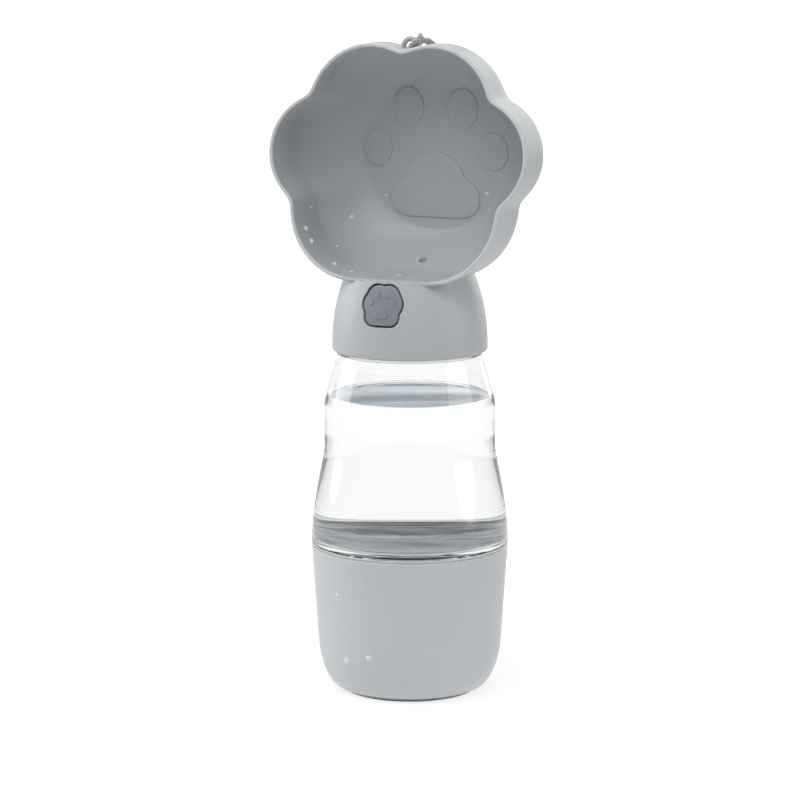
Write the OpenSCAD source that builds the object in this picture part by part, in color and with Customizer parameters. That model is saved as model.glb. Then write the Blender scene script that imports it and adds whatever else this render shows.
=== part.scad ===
// Travel water bottle for dogs: a paw shaped drinking bowl with a push button valve,
// screwed on a clear bottle, which is screwed on a food cup that it stands on.
// Millimetres, +Z up, the bowl and the button face -Y. The origin is on the bottle's
// axis, at the bottom of the food cup.

/* [Food cup] */
// Height of the food cup
cup_h = 52.6; // [46:0.1:60]
// How much smaller the cup's rim is than the bottle's lower edge
cup_step = 0.1; // [0:0.05:0.3]
// How much the side leans in for each millimetre down
cup_taper = 0.068; // [0:0.002:0.08]
// Height at which the side starts to round towards the foot
cup_foot_h = 18; // [12:0.5:26]
// How far the rounding pulls in towards the foot
cup_foot_in = 7; // [4:0.1:9]
// Height of the ring that the cup stands on
foot_ring_h = 1; // [0.6:0.1:1.6]
// Width of the ring that the cup stands on
foot_ring_w = 2.8; // [2:0.1:4]
// Wall of the cup below its thread
cup_wall = 2.2; // [1.6:0.1:2.6]
// Depth of the hollow under the foot
cup_hollow = 0.8; // [0.4:0.1:1.2]

/* [Bottle] */
// Radius of the bottle where it meets the cup
bottle_base_r = 35.3; // [34.5:0.1:36]
// Radius of the waist
waist_r = 30.65; // [29.5:0.05:32]
// Height from the cup to the waist
bulge_h = 34.8; // [28:0.1:42]
// Height of the straight waist
waist_h = 15.5; // [8:0.1:24]
// Height of the cone above the waist
shoulder_h = 17.7; // [14:0.1:22]
// Radius at the top of the cone
shoulder_top_r = 26.1; // [25.6:0.1:27]
// Wall of the bottle
bottle_wall = 1.8; // [1.4:0.1:2.2]
// Thickness of the bottle's floor
bottle_floor = 2.2; // [1.6:0.1:3]
// Radius between floor and wall inside the bottle
floor_fillet_r = 1.4; // [0.8:0.1:3]
// How far the floor lies above the bottle's lower edge
floor_rise = 2; // [1.6:0.1:3]
// Thickness of the bead under the neck
bead_t = 1; // [0.8:0.1:1.4]

/* [Base thread] */
// How far the screw base stands in from the bottle's lower edge
skirt_step = 4; // [3.8:0.05:4.3]
// Wall of the screw base
skirt_wall = 2.2; // [1.8:0.1:2.8]
// Height of the screw base
skirt_h = 9.8; // [9.2:0.1:11]
// Rise of the base thread in one turn
base_pitch = 4; // [3.6:0.1:4.4]
// Turns of each base thread ridge
base_turns = 1.25; // [1:0.25:1.25]
// Thickness of the silicone ring between cup and bottle
seal_t = 0.6; // [0.4:0.1:1.2]

/* [Neck] */
// Outer radius of the neck
neck_r = 21.3; // [20.6:0.1:21.6]
// Wall of the neck
neck_wall = 2; // [1.6:0.1:2.4]
// Height of the neck
neck_h = 7.6; // [7.4:0.1:8.4]
// Rise of the neck thread in one turn
neck_pitch = 3; // [2.8:0.1:3.2]
// Turns of each neck thread ridge
neck_turns = 1.25; // [1:0.25:1.25]
// Thickness of the neck gasket
gasket_t = 1.2; // [0.8:0.1:1.6]

/* [Thread ridges] */
// How far a ridge stands out of its wall
ridge_h = 1.05; // [0.9:0.05:1.15]
// Gap between a ridge and the wall that it runs along
ridge_gap = 0.45; // [0.35:0.05:0.55]

/* [Collar] */
// Largest radius of the collar
collar_r = 27.75; // [27.4:0.05:29]
// Radius of the collar's curved side, seen from the front
collar_arc_r = 65; // [55:1:90]
// Height of the collar
collar_h = 27.2; // [26.8:0.1:29]
// Gap between the bottle's bead and the collar
collar_gap = 0.9; // [0.7:0.1:1.6]
// Wall of the collar around the valve
collar_wall = 2.2; // [1.6:0.1:2.4]
// Thickness of the collar's roof at its front
roof_t = 1.7; // [1.4:0.1:2.2]

/* [Paw bowl] */
// Wall of the bowl
bowl_wall = 1.5; // [1.3:0.1:2.4]
// Distance of each upper toe's centre from the middle
toe_x = 11.4; // [10.4:0.1:12.4]
// Height of each upper toe's centre above the bowl's centre
toe_z = 17.3; // [16:0.1:18.6]
// Radius of each upper toe
toe_r = 22.2; // [21:0.1:23]
// Distance of each side toe's centre from the middle
side_x = 28.2; // [26.5:0.1:30]
// Height of each side toe's centre above the bowl's centre
side_z = 2.7; // [1.5:0.1:4]
// Radius of each side toe
side_r = 19.3; // [18:0.1:20.5]
// Distance of each corner's centre of the pad from the middle
pad_x = 13.4; // [12:0.1:15]
// Depth of each corner's centre of the pad below the bowl's centre
pad_z = 15.8; // [15:0.1:17]
// Radius of each corner of the pad
pad_r = 24.8; // [24:0.1:26]
// How far the rim's centre stands in front of the bottle's axis
rim_y = 13.6; // [12:0.1:14.5]
// Lean of the rim's plane, in millimetres back for each millimetre up
rim_lean = 0.145; // [0.08:0.005:0.16]
// Draft of the bowl's side wall in degrees
bowl_draft = 0.5; // [0.5:0.5:4]
// Where the side wall ends and the rounding to the back starts
round_y = 3.2; // [1:0.1:6]
// Where the bowl's inner floor lies behind the axis
floor_y = 23.3; // [21.5:0.1:25]
// Radius of the bowl's flat inner floor
floor_r = 27.2; // [25.5:0.1:28.5]
// Shape of the rounding: 1 is a quarter ellipse, and more is flatter
round_power = 1.4; // [1:0.1:1.6]
// How far the rim's edge is rounded
lip = 0.5; // [0.3:0.1:0.6]
// How far the bowl sinks into the collar's top
bowl_sink = 1.3; // [1:0.1:1.6]

/* [Lanyard lug] */
// Radius of the lug's ring, to the middle of its bar
lug_ring_r = 3; // [2.9:0.1:3.4]
// Radius of the lug's bar
lug_bar_r = 1; // [0.9:0.05:1.05]
// Where the lug stands behind the axis
lug_y = 1; // [0:0.5:4]

/* [Push button] */
// Distance of each upper lobe's centre from the button's middle
btn_toe_x = 1.9; // [1.7:0.1:2.1]
// Height of each upper lobe's centre above the button's middle
btn_toe_z = 2.9; // [2.7:0.1:3]
// Radius of each upper lobe
btn_toe_r = 4.1; // [4:0.05:4.2]
// Distance of each side lobe's centre from the button's middle
btn_side_x = 2.9; // [2.6:0.1:3.2]
// Height of each side lobe's centre above the button's middle
btn_side_z = 0.4; // [0:0.1:0.8]
// Radius of each side lobe
btn_side_r = 4.4; // [4.2:0.05:4.6]
// Distance of each lower corner's centre from the button's middle
btn_pad_x = 3.1; // [2.8:0.1:3.4]
// Depth of each lower corner's centre below the button's middle
btn_pad_z = 3.7; // [3.5:0.1:3.8]
// Radius of each lower corner
btn_pad_r = 3.2; // [3:0.05:3.3]
// Gap between the button and its window
btn_gap = 0.6; // [0.4:0.05:0.65]
// How far the button's face lies below the collar's surface
btn_recess = 0.5; // [0.3:0.1:0.9]
// Width of the flange that keeps the button in its window
btn_flange = 1; // [0.8:0.1:1.1]
// How far the button travels
btn_travel = 3; // [2:0.1:3.2]

/* [Valve] */
// Height of the valve's axis above the screw insert
valve_rise = 8.9; // [8.8:0.1:9.2]
// Outer radius of the valve's barrel
barrel_r = 5.2; // [5:0.1:5.4]
// Radius of the inlet chamber's bore
chamber_r = 3.3; // [3.1:0.05:3.5]
// Radius of the outlet chamber's bore
outlet_bore_r = 4; // [3.8:0.05:4.2]
// Radius of the stem
stem_r = 2; // [1.8:0.05:2.1]
// Radius of the hole in the valve's seat
seat_r = 2.6; // [2.4:0.05:2.8]
// Where the outlet hole lies behind the axis
outlet_y = 12; // [11:0.5:13]
// Radius of the outlet hole in the bowl
outlet_r = 1.5; // [1.2:0.1:1.8]
// Radius of the inlet hole in the screw insert
inlet_r = 2; // [1.6:0.1:2.2]
// Radius of the return spring's wire
wire_r = 0.35; // [0.3:0.05:0.45]
// Turns of the return spring
spring_turns = 5; // [4:1:7]

/* [Lanyard] */
// Diameter of the braided cord
cord_d = 2; // [1.4:0.1:2.1]
// Length of the ferrule on the cord's two ends
ferrule_h = 9; // [6:0.5:9]
// Radius of the ferrule
ferrule_r = 2.6; // [2.3:0.1:2.9]

/* [Hidden] */

$fn = 96;
eps = 0.01;
sink = 0.3;

// Radii that follow the bottle's lower edge
cup_rim_r = bottle_base_r - cup_step;
skirt_r = bottle_base_r - skirt_step;
seal_gap = 0.25;
seal_step = 0.8;

// Heights, from the cup upwards
shoulder_z = cup_h + seal_t;
waist_lo_z = shoulder_z + bulge_h;
waist_hi_z = waist_lo_z + waist_h;
bead_z = waist_hi_z + shoulder_h;
neck_z = bead_z + bead_t;
neck_top_z = neck_z + neck_h;
plate_t = 2.2;
plate_z = neck_top_z + gasket_t;
plate_top_z = plate_z + plate_t;
collar_z = neck_z + collar_gap;
collar_top_z = collar_z + collar_h;
roof_z = collar_top_z - roof_t;
valve_z = plate_top_z + valve_rise;
bowl_z = collar_top_z - bowl_sink + bowl_wall + pad_z + pad_r;

// Threads: the ridges on the two walls share one helix, half a turn's rise apart
base_wall_r = skirt_r + ridge_h + ridge_gap;
base_thread_z = shoulder_z - skirt_h + 1;
neck_bore_r = neck_r + ridge_h + ridge_gap;
neck_thread_z = neck_z + 1.4;
thread_steps = 48;

// Insert, gasket and snap bead in the collar
insert_wall = 2.2;
insert_r = neck_bore_r + insert_wall;
collar_bore_r = insert_r + 0.15;
lug_leg = 0.5;
lug_root = 0.8;
snap_h = 0.4;
snap_z = collar_z + 4;

// Valve, along Y
barrel_y0 = -9;
gland_y = -6.2;
seat_y0 = 5;
seat_y1 = 7;
washer_t = 1.4;
poppet_t = 1.2;
barrel_y1 = 17.6;
plug_y = outlet_y + outlet_r + 1.5;
inlet_y = 1;
inlet_seal_t = 0.8;
inlet_seal_w = 1.4;
plug_groove_w = 1.1;
stem_groove_w = 1.8;
stem_groove_d = 0.4;
run_gap = 0.08;
stem_neck_r = 1.2;
boss_r = 3.6;
base_half_x = 11;
base_y0 = -7.2;
base_y1 = 15.2;
base_t = 1.8;
block_half_x = 4.2;
block_y0 = -6;
block_y1 = 15;
foot_gap = 0.9;
screw_x = 8.6;
screw_y0 = -4.5;
screw_y1 = 12.5;
screw_r = 0.95;
screw_head_r = 1.9;
screw_head_h = 1.4;
screw_l = 6.6;
grommet_r = 3.9;
grommet_z = valve_z + barrel_r + foot_gap;
grommet_t = collar_top_z + 0.1 - grommet_z;
vent_y = -13;

// Button, along Y
btn_z = valve_z;
btn_reach = 12;
roof_gap = 0.4;
flange_t = 1.3;
flange_front_y = -20;
flange_back_y = flange_front_y + flange_t;
cap_back_y = flange_front_y - 2;
window_back_y = cap_back_y + btn_travel + 0.3;
btn_boss_r = 3;
btn_boss_y = flange_back_y + 3.4;
stem_front_y = flange_front_y + 0.5;

// ---------------------------------------------------------------- outlines and rings

// Distance from the origin, in direction a, to the far side of a circle at [x, z]
function circle_hit(a, x, z, r) =
    let (along = x * cos(a) + z * sin(a), reach = r * r - x * x - z * z + along * along)
    reach > 0 ? max(along + sqrt(reach), eps) : eps;

// The same for the pad: two round corners joined by a flat bottom
function pad_hit(a, x, z, r) =
    let (flat = (z + r) / max(-sin(a), eps))
    sin(a) < 0 && abs(flat * cos(a)) < x ? flat : circle_hit(a, x, -z, r);

// A paw outline in polar form, [toe x, z, r, side x, z, r, pad x, depth, r]; the notches
// between its lobes are rounded
blend = 28;
function paw_r(a, p) =
    let (b = cos(a) >= 0 ? a : 180 - a)
    pow(pow(circle_hit(b, p[0], p[1], p[2]), blend)
      + pow(circle_hit(b, -p[0], p[1], p[2]), blend)
      + pow(circle_hit(b, p[3], p[4], p[5]), blend)
      + pow(pad_hit(b, p[6], p[7], p[8]), blend), 1 / blend);

bowl_paw = [toe_x, toe_z, toe_r, side_x, side_z, side_r, pad_x, pad_z, pad_r];
btn_paw = [btn_toe_x, btn_toe_z, btn_toe_r, btn_side_x, btn_side_z, btn_side_r,
           btn_pad_x, btn_pad_z, btn_pad_r];

// Flat paw outline grown by g
function paw_points(p, g, n) =
    [for (i = [0:n - 1]) let (a = 360 * i / n, r = paw_r(a, p) + g) [r * cos(a), r * sin(a)]];

function smooth_bulge(u) = sin(90 * pow(u, 1.1));
shoulder_blend = 0.06;
function shoulder_drop(v) =
    (v < 2 * shoulder_blend ? v * v / (4 * shoulder_blend) : v - shoulder_blend)
    / (1 - shoulder_blend);

// Outer radius of the bottle at height z
function bottle_r(z) =
    z < waist_lo_z
    ? waist_r + (bottle_base_r - waist_r) * smooth_bulge((waist_lo_z - z) / bulge_h)
    : z < waist_hi_z ? waist_r
    : waist_r - (waist_r - shoulder_top_r) * shoulder_drop((z - waist_hi_z) / shoulder_h);

// Outer radius of the food cup at height z
function cup_r(z) =
    let (h = max(cup_foot_h - z, 0) / (cup_foot_h - foot_ring_h))
    cup_rim_r - cup_taper * (cup_h - z) - cup_foot_in * (1 - sqrt(1 - h * h));

// Outer radius of the collar at height z
collar_mid_z = collar_z + 2.9;
function collar_side_r(z) =
    let (d = max(z - collar_mid_z, 0))
    collar_r - collar_arc_r + sqrt(collar_arc_r * collar_arc_r - d * d);

// ---------------------------------------------------------------- shared shapes

// Solid between closed rings of points, with flat ends
module skin(rings) {
    n = len(rings[0]);
    last = len(rings) - 1;
    points = [for (ring = rings) for (p = ring) p];
    sides = [for (k = [0:last - 1]) for (i = [0:n - 1])
             [k * n + i, k * n + (i + 1) % n, (k + 1) * n + (i + 1) % n, (k + 1) * n + i]];
    start = [for (i = [n - 1:-1:0]) i];
    end = [for (i = [0:n - 1]) last * n + i];
    polyhedron(points, concat([start], sides, [end]));
}

// Helical ridge on a wall of radius r; outward is 1 on a neck and -1 in a bore
module thread_ridge(r, outward, pitch, turns, z) {
    steps = round(thread_steps * turns);
    root = 0.8 * pitch / 4 + 0.1;
    crest = 0.5 * pitch / 4;
    rings = [for (k = [0:steps])
        let (a = 360 * turns * k / steps,
             fade = min(1, k / 5 + 0.15, (steps - k) / 5 + 0.15),
             zc = z + pitch * turns * k / steps,
             r0 = r - outward * sink,
             r1 = r + outward * ridge_h * fade,
             section = [[r0, -root], [r1, -crest * fade], [r1, crest * fade], [r0, root]],
             order = outward > 0 ? [0, 1, 2, 3] : [3, 2, 1, 0])
        [for (j = order) [section[j][0] * cos(a), section[j][0] * sin(a), zc + section[j][1]]]];
    skin(rings);
}

module ring(r_in, r_out, h) {
    rotate_extrude() translate([r_in, 0]) square([r_out - r_in, h]);
}

// Turns what is modelled along +Z to lie along +Y, at height z
module along_y(y, z) {
    translate([0, y, z]) rotate([-90, 0, 0]) children();
}

module oring(r_mid, r_wire) {
    rotate_extrude() translate([r_mid, 0]) circle(r_wire, $fn = 32);
}

// ---------------------------------------------------------------- food cup and bottle

module food_cup() {
    steps = 14;
    ledge_z = shoulder_z - skirt_h - 0.9;
    inside_r = base_wall_r;
    foot_heights = [for (i = [0:steps]) foot_ring_h + (cup_foot_h - foot_ring_h) * i / steps];
    side = [for (z = foot_heights) [cup_r(z), z]];
    inner = [for (z = foot_heights) [cup_r(z) - cup_wall, z + cup_wall]];
    ring_r = cup_r(foot_ring_h) - 0.7;
    inner_z = foot_ring_h + cup_wall;
    rim = 0.5;
    color([0.76, 0.78, 0.79]) {
        rotate_extrude() polygon(concat(
            [[0, cup_hollow], [ring_r - foot_ring_w - 0.6, cup_hollow], [ring_r - foot_ring_w, 0],
             [ring_r - 0.2, 0], [ring_r, 0.2], [ring_r, foot_ring_h]],
            side,
            [[cup_r(cup_h - rim), cup_h - rim], [cup_rim_r - rim, cup_h],
             [inside_r + 0.2, cup_h], [inside_r, cup_h - 0.4],
             [inside_r, ledge_z], [cup_r(ledge_z - 1) - cup_wall, ledge_z - 1]],
            [for (i = [steps:-1:1]) inner[i]],
            [[0, inner_z]]));
        thread_ridge(base_wall_r, -1, base_pitch, base_turns, base_thread_z + base_pitch / 2);
    }
}

module cup_seal_ring() {
    color([0.93, 0.94, 0.94]) translate([0, 0, cup_h])
        ring(skirt_r + seal_gap, cup_rim_r - seal_step, seal_t);
}

module bottle() {
    floor_z = shoulder_z + floor_rise;
    fillet_z = floor_z + floor_fillet_r;
    wall_in_r = bottle_r(fillet_z) - bottle_wall;
    fillet_x = wall_in_r - floor_fillet_r;
    skirt_z = shoulder_z - skirt_h;
    neck_in_r = neck_r - neck_wall;
    throat_z = bead_z - bottle_wall;
    outer = [for (i = [0:16]) let (z = shoulder_z + 0.4 + (bulge_h - 0.4) * i / 16)
             [bottle_r(z), z]];
    cone = [for (i = [0:10]) let (z = waist_hi_z + shoulder_h * i / 10) [bottle_r(z), z]];
    cone_in = [for (i = [9:-1:0]) let (z = waist_hi_z + (shoulder_h - bottle_wall) * i / 10)
               [bottle_r(z) - bottle_wall, z]];
    inner = [for (i = [12:-1:1]) let (z = fillet_z + (waist_lo_z - fillet_z) * i / 12)
             [bottle_r(z) - bottle_wall, z]];
    fillet = [for (i = [0:10]) let (a = -9 * i)
              [fillet_x + floor_fillet_r * cos(a), fillet_z + floor_fillet_r * sin(a)]];
    color([0.9, 0.93, 0.95, 0.4]) {
        rotate_extrude() polygon(concat(
            [[0, floor_z - bottle_floor], [skirt_r - skirt_wall, floor_z - bottle_floor],
             [skirt_r - skirt_wall, skirt_z], [skirt_r - 0.4, skirt_z], [skirt_r, skirt_z + 0.4],
             [skirt_r, shoulder_z], [bottle_base_r - 0.4, shoulder_z]],
            outer, cone,
            [[shoulder_top_r, neck_z], [neck_r, neck_z], [neck_r, neck_top_z - 0.4],
             [neck_r - 0.4, neck_top_z], [neck_in_r, neck_top_z], [neck_in_r, throat_z + 0.6],
             [neck_in_r + 0.8, throat_z - 0.3]],
            cone_in, inner, fillet,
            [[0, floor_z]]));
        thread_ridge(skirt_r, 1, base_pitch, base_turns, base_thread_z);
        thread_ridge(neck_r, 1, neck_pitch, neck_turns, neck_thread_z);
    }
}

module neck_gasket() {
    color([0.93, 0.94, 0.94]) translate([0, 0, neck_top_z])
        ring(neck_r - neck_wall + 0.2, neck_bore_r - 0.3, gasket_t);
}

// ---------------------------------------------------------------- head

// One ring of the bowl: the rim outline grown by g, at depth t from the rim (0) to round_y (1)
bowl_n = 96;
round_steps = 8;
function rim_depth(z) = -rim_y + rim_lean * z;
function bowl_wall_point(a, g, t) =
    let (r0 = paw_r(a, bowl_paw) + g,
         y0 = rim_depth(r0 * sin(a)),
         y = y0 + (round_y - y0) * t,
         r = r0 - tan(bowl_draft) * (y - y0))
    [r * cos(a), y, bowl_z + r * sin(a)];

// A point on the rounding between the wall's end and the flat back
function bowl_round_point(a, g, back_y, back_r, u) =
    let (r0 = paw_r(a, bowl_paw) + g,
         y0 = rim_depth(r0 * sin(a)),
         r1 = r0 - tan(bowl_draft) * (round_y - y0),
         r = back_r + (r1 - back_r) * pow(cos(90 * u), round_power),
         y = round_y + (back_y - round_y) * pow(sin(90 * u), round_power))
    [r * cos(a), y, bowl_z + r * sin(a)];

// Points of a ring, turned so that the skin faces outwards
function bowl_angles() = [for (i = [0:bowl_n - 1]) 360 * i / bowl_n];
function shift_y(points, d) = [for (p = points) [p[0], p[1] + d, p[2]]];

// One ring at the rim, d behind its plane
function rim_ring(g, d) =
    shift_y([for (a = bowl_angles()) bowl_wall_point(a, g, 0)], d);

// The rings of one side of the bowl from the rim to the back, with g of wall added
function bowl_side(g) = concat(
    [for (t = [0.35, 0.7, 1]) [for (a = bowl_angles()) bowl_wall_point(a, g, t)]],
    [for (i = [1:round_steps])
     [for (a = bowl_angles()) bowl_round_point(a, g, floor_y + g, floor_r + g, i / round_steps)]]);

function reversed(list) = [for (i = [len(list) - 1:-1:0]) list[i]];

// The bowl's wall: from the inner floor out to the rim, round its edge and back outside
module bowl_shell() {
    soft = lip * (1 - cos(45));
    skin(concat(
        reversed(bowl_side(0)),
        [rim_ring(0, lip), rim_ring(soft, soft), rim_ring(lip, 0),
         rim_ring(bowl_wall - lip, 0), rim_ring(bowl_wall - soft, soft), rim_ring(bowl_wall, lip)],
        bowl_side(bowl_wall)));
}

// What has to stay clear of the collar: the cavity and the inner half of the wall
module bowl_core() {
    skin(concat([rim_ring(bowl_wall / 2, -2)], bowl_side(bowl_wall / 2)));
}

// The collar's dome reaches dome_h above its flat shelf in front of the bowl
dome_h = 7;
shelf_y = rim_depth(-pad_z - pad_r) + 0.6;
module collar_outside() {
    steps = 12;
    dome_z = collar_top_z + dome_h;
    corner = 1;
    side = [for (i = [0:steps]) let (z = collar_mid_z + (dome_z - collar_mid_z) * i / steps)
            [collar_side_r(z), z]];
    rotate_extrude() polygon(concat(
        [[0, collar_z], [collar_r - corner, collar_z]],
        [for (a = [-60, -30, 0])
         [collar_r - corner + corner * cos(a), collar_z + corner + corner * sin(a)]],
        side, [[0, dome_z]]));
}

module collar_inside() {
    steps = 6;
    step_z = plate_top_z + 0.2;
    side = [for (i = [0:steps]) let (z = step_z + (roof_z - step_z) * i / steps)
            [min(collar_side_r(z) - collar_wall, collar_bore_r), z]];
    rotate_extrude() polygon(concat(
        [[0, collar_z - 1], [collar_bore_r + 0.5, collar_z - 1], [collar_bore_r, collar_z + 0.6],
         [collar_bore_r, snap_z - 0.5], [collar_bore_r + snap_h, snap_z],
         [collar_bore_r + snap_h, snap_z + 0.6], [collar_bore_r, snap_z + 1.1]],
        side, [[0, roof_z]]));
}

// Height of the bowl's outer surface in the notch between the upper toes, at depth y
function notch_top_z(y) =
    let (r0 = paw_r(90, bowl_paw) + bowl_wall)
    bowl_z + r0 - tan(bowl_draft) * (y - rim_depth(r0));

lug_z = notch_top_z(lug_y) + lug_leg;
module lug() {
    translate([0, lug_y, lug_z]) {
        rotate([90, 0, 0]) rotate_extrude(angle = 180, $fn = 48)
            translate([lug_ring_r, 0]) circle(lug_bar_r, $fn = 32);
        for (side = [-1, 1])
            translate([side * lug_ring_r, 0, -lug_leg - lug_root])
                cylinder(h = lug_leg + lug_root, r = lug_bar_r, $fn = 32);
    }
}

// Paw print on the bowl's floor, raised by print_t: four toes, and a pad that is a round
// top and two round corners, joined by a flat bottom
print_t = 0.4;
print_toes = [[-10.4, 16.1, 5.9, 7.4], [10.4, 16.1, 5.9, 7.4],
              [-22.5, 1.2, 5.7, 6.8], [22.5, 1.2, 5.7, 6.8]];
print_pad_drop = 12;
print_top = [0, 0.7, 11.2];
print_corner = [10.4, 4.3, 7];
function print_pad_r(a) =
    let (b = cos(a) >= 0 ? a : 180 - a)
    pow(pow(circle_hit(b, print_top[0], print_top[1], print_top[2]), blend)
      + pow(pad_hit(b, print_corner[0], print_corner[1], print_corner[2]), blend), 1 / blend);
module floor_print() {
    along_y(floor_y - print_t, bowl_z) linear_extrude(height = print_t + 0.5) {
        for (t = print_toes)
            polygon([for (a = [0:15:345]) [t[0] + t[2] * cos(a), -t[1] - t[3] * sin(a)]]);
        polygon([for (a = [0:10:350]) let (r = print_pad_r(a)) [r * cos(a), print_pad_drop - r * sin(a)]]);
    }
}

module paw_bowl() {
    color([0.76, 0.78, 0.79]) {
        difference() {
            union() {
                difference() {
                    collar_outside();
                    translate([-collar_r, -collar_r, collar_top_z])
                        cube([2 * collar_r, collar_r + shelf_y, dome_h + 1]);
                    bowl_core();
                }
                bowl_shell();
                lug();
            }
            collar_inside();
            btn_prism(btn_gap, -collar_r - 5, window_back_y);
            translate([0, outlet_y, roof_z - 1]) cylinder(h = 10, r = outlet_r, $fn = 32);
            translate([0, outlet_y, roof_z - 1])
                cylinder(h = grommet_z + grommet_t - roof_z + 1, r = grommet_r + 0.1, $fn = 48);
        }
        floor_print();
    }
}

module screw_insert() {
    color([0.95, 0.95, 0.94]) {
        difference() {
            union() {
                rotate_extrude() polygon([
                    [0, plate_z], [neck_bore_r, plate_z], [neck_bore_r, collar_z + 0.6],
                    [insert_r, collar_z + 0.6], [insert_r, snap_z - 0.2],
                    [insert_r + snap_h, snap_z + 0.1], [insert_r + snap_h, snap_z + 0.5],
                    [insert_r, snap_z + 0.8], [insert_r, plate_top_z], [0, plate_top_z]]);
                for (x = [-screw_x, screw_x], y = [screw_y0, screw_y1])
                    translate([x, y, plate_z - 3.2]) cylinder(h = 3.4, r = 2.4, $fn = 32);
            }
            translate([0, inlet_y, plate_z - 1]) cylinder(h = plate_t + 2, r = inlet_r, $fn = 32);
            translate([0, inlet_y, plate_top_z - inlet_seal_t])
                cylinder(h = inlet_seal_t + 1, r = inlet_r + inlet_seal_w + 0.3, $fn = 48);
            translate([0, vent_y, plate_z - 1]) cylinder(h = plate_t + 2, r = 1, $fn = 32);
            for (x = [-screw_x, screw_x], y = [screw_y0, screw_y1])
                translate([x, y, plate_top_z + base_t - screw_l])
                    cylinder(h = screw_l, r = screw_r, $fn = 32);
        }
        thread_ridge(neck_bore_r, -1, neck_pitch, neck_turns, neck_thread_z + neck_pitch / 2);
    }
}

module screw_places() {
    for (x = [-screw_x, screw_x], y = [screw_y0, screw_y1])
        translate([x, y, plate_top_z + base_t]) children();
}

module valve_screws() {
    color([0.75, 0.75, 0.76]) screw_places() difference() {
        union() {
            translate([0, 0, -screw_l]) cylinder(h = screw_l + eps, r = screw_r, $fn = 32);
            cylinder(h = screw_head_h, r = screw_head_r, $fn = 32);
        }
        translate([0, 0, screw_head_h - 0.8]) cylinder(h = 2, r = 0.75, $fn = 6);
    }
}

module valve_body() {
    color([0.93, 0.93, 0.92]) difference() {
        union() {
            translate([-base_half_x, base_y0, plate_top_z])
                cube([2 * base_half_x, base_y1 - base_y0, base_t]);
            translate([-block_half_x, block_y0, plate_top_z])
                cube([2 * block_half_x, block_y1 - block_y0, valve_z - plate_top_z]);
            along_y(barrel_y0, valve_z) cylinder(h = barrel_y1 - barrel_y0, r = barrel_r);
            translate([0, outlet_y, valve_z])
                cylinder(h = grommet_z - valve_z, r = boss_r, $fn = 48);
        }
        along_y(barrel_y0 - 1, valve_z)
            cylinder(h = gland_y - barrel_y0 + 2, r = stem_r + run_gap, $fn = 48);
        along_y(gland_y, valve_z) cylinder(h = seat_y0 - gland_y, r = chamber_r, $fn = 48);
        along_y(seat_y0 - 1, valve_z)
            cylinder(h = seat_y1 - seat_y0 + 2, r = seat_r, $fn = 48);
        along_y(seat_y1, valve_z)
            cylinder(h = barrel_y1 - seat_y1 + 1, r = outlet_bore_r, $fn = 48);
        translate([0, inlet_y, plate_top_z - 1]) cylinder(h = valve_rise, r = inlet_r, $fn = 32);
        translate([0, outlet_y, valve_z])
            cylinder(h = grommet_z - valve_z + 1, r = outlet_r, $fn = 32);
        screw_places() translate([0, 0, -base_t - 1])
            cylinder(h = base_t + 2, r = screw_r, $fn = 32);
    }
}

module inlet_seal() {
    color([0.2, 0.21, 0.22]) translate([0, inlet_y, plate_top_z - inlet_seal_t])
        ring(inlet_r + 0.2, inlet_r + 0.2 + inlet_seal_w, inlet_seal_t);
}

module outlet_grommet() {
    color([0.92, 0.93, 0.93]) translate([0, outlet_y, grommet_z])
        ring(outlet_r, grommet_r, grommet_t);
}

module vent_valve() {
    color([0.92, 0.93, 0.93]) translate([0, vent_y, 0]) rotate_extrude() polygon([
        [0, plate_z - 1.5], [1.2, plate_z - 1.3], [2.9, plate_z - 0.6], [3, plate_z],
        [0.8, plate_z], [0.8, plate_top_z], [1.3, plate_top_z], [0.9, plate_top_z + 1.4],
        [0, plate_top_z + 1.4]]);
}

plug_groove_y = (plug_y + barrel_y1) / 2;
stem_groove_y = gland_y + 2.2;
module barrel_plug() {
    color([0.93, 0.93, 0.92]) difference() {
        union() {
            along_y(plug_y, valve_z)
                cylinder(h = barrel_y1 - plug_y, r = outlet_bore_r - 0.05, $fn = 48);
            along_y(barrel_y1, valve_z) cylinder(h = 1.2, r = barrel_r - 0.2, $fn = 48);
        }
        along_y(plug_groove_y - plug_groove_w / 2, valve_z)
            ring(outlet_bore_r - 0.95, outlet_bore_r + 1, plug_groove_w, $fn = 48);
    }
}

module plug_oring() {
    color([0.2, 0.21, 0.22]) along_y(plug_groove_y, valve_z)
        oring(outlet_bore_r - 0.5, 0.45);
}

// ---------------------------------------------------------------- button and stem

module btn_prism(g, y0, y1) {
    along_y(y0, btn_z) linear_extrude(height = y1 - y0)
        polygon([for (p = paw_points(btn_paw, g, 72)) [p[0], -p[1]]]);
}

// What lies under the collar's roof
module below_roof() {
    intersection() {
        children();
        translate([-collar_r, -collar_r, collar_z])
            cube([2 * collar_r, collar_r, roof_z - roof_gap - collar_z]);
    }
}

module paw_button() {
    steps = 8;
    z0 = btn_z - btn_reach;
    z1 = btn_z + btn_reach;
    face = [for (i = [0:steps]) let (z = z0 + (z1 - z0) * i / steps)
            [collar_side_r(z) - btn_recess, z]];
    color([0.5, 0.53, 0.56]) difference() {
        union() {
            intersection() {
                btn_prism(0, -collar_r, cap_back_y);
                rotate_extrude() polygon(concat([[0, z0]], face, [[0, z1]]));
            }
            below_roof() btn_prism(0, cap_back_y - eps, flange_front_y + eps);
            below_roof() btn_prism(btn_flange + btn_gap, flange_front_y, flange_back_y);
            along_y(flange_back_y - eps, btn_z)
                cylinder(h = btn_boss_y - flange_back_y + eps, r = btn_boss_r, $fn = 48);
        }
        along_y(stem_front_y, btn_z) cylinder(h = 10, r = stem_r, $fn = 48);
    }
}

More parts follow.
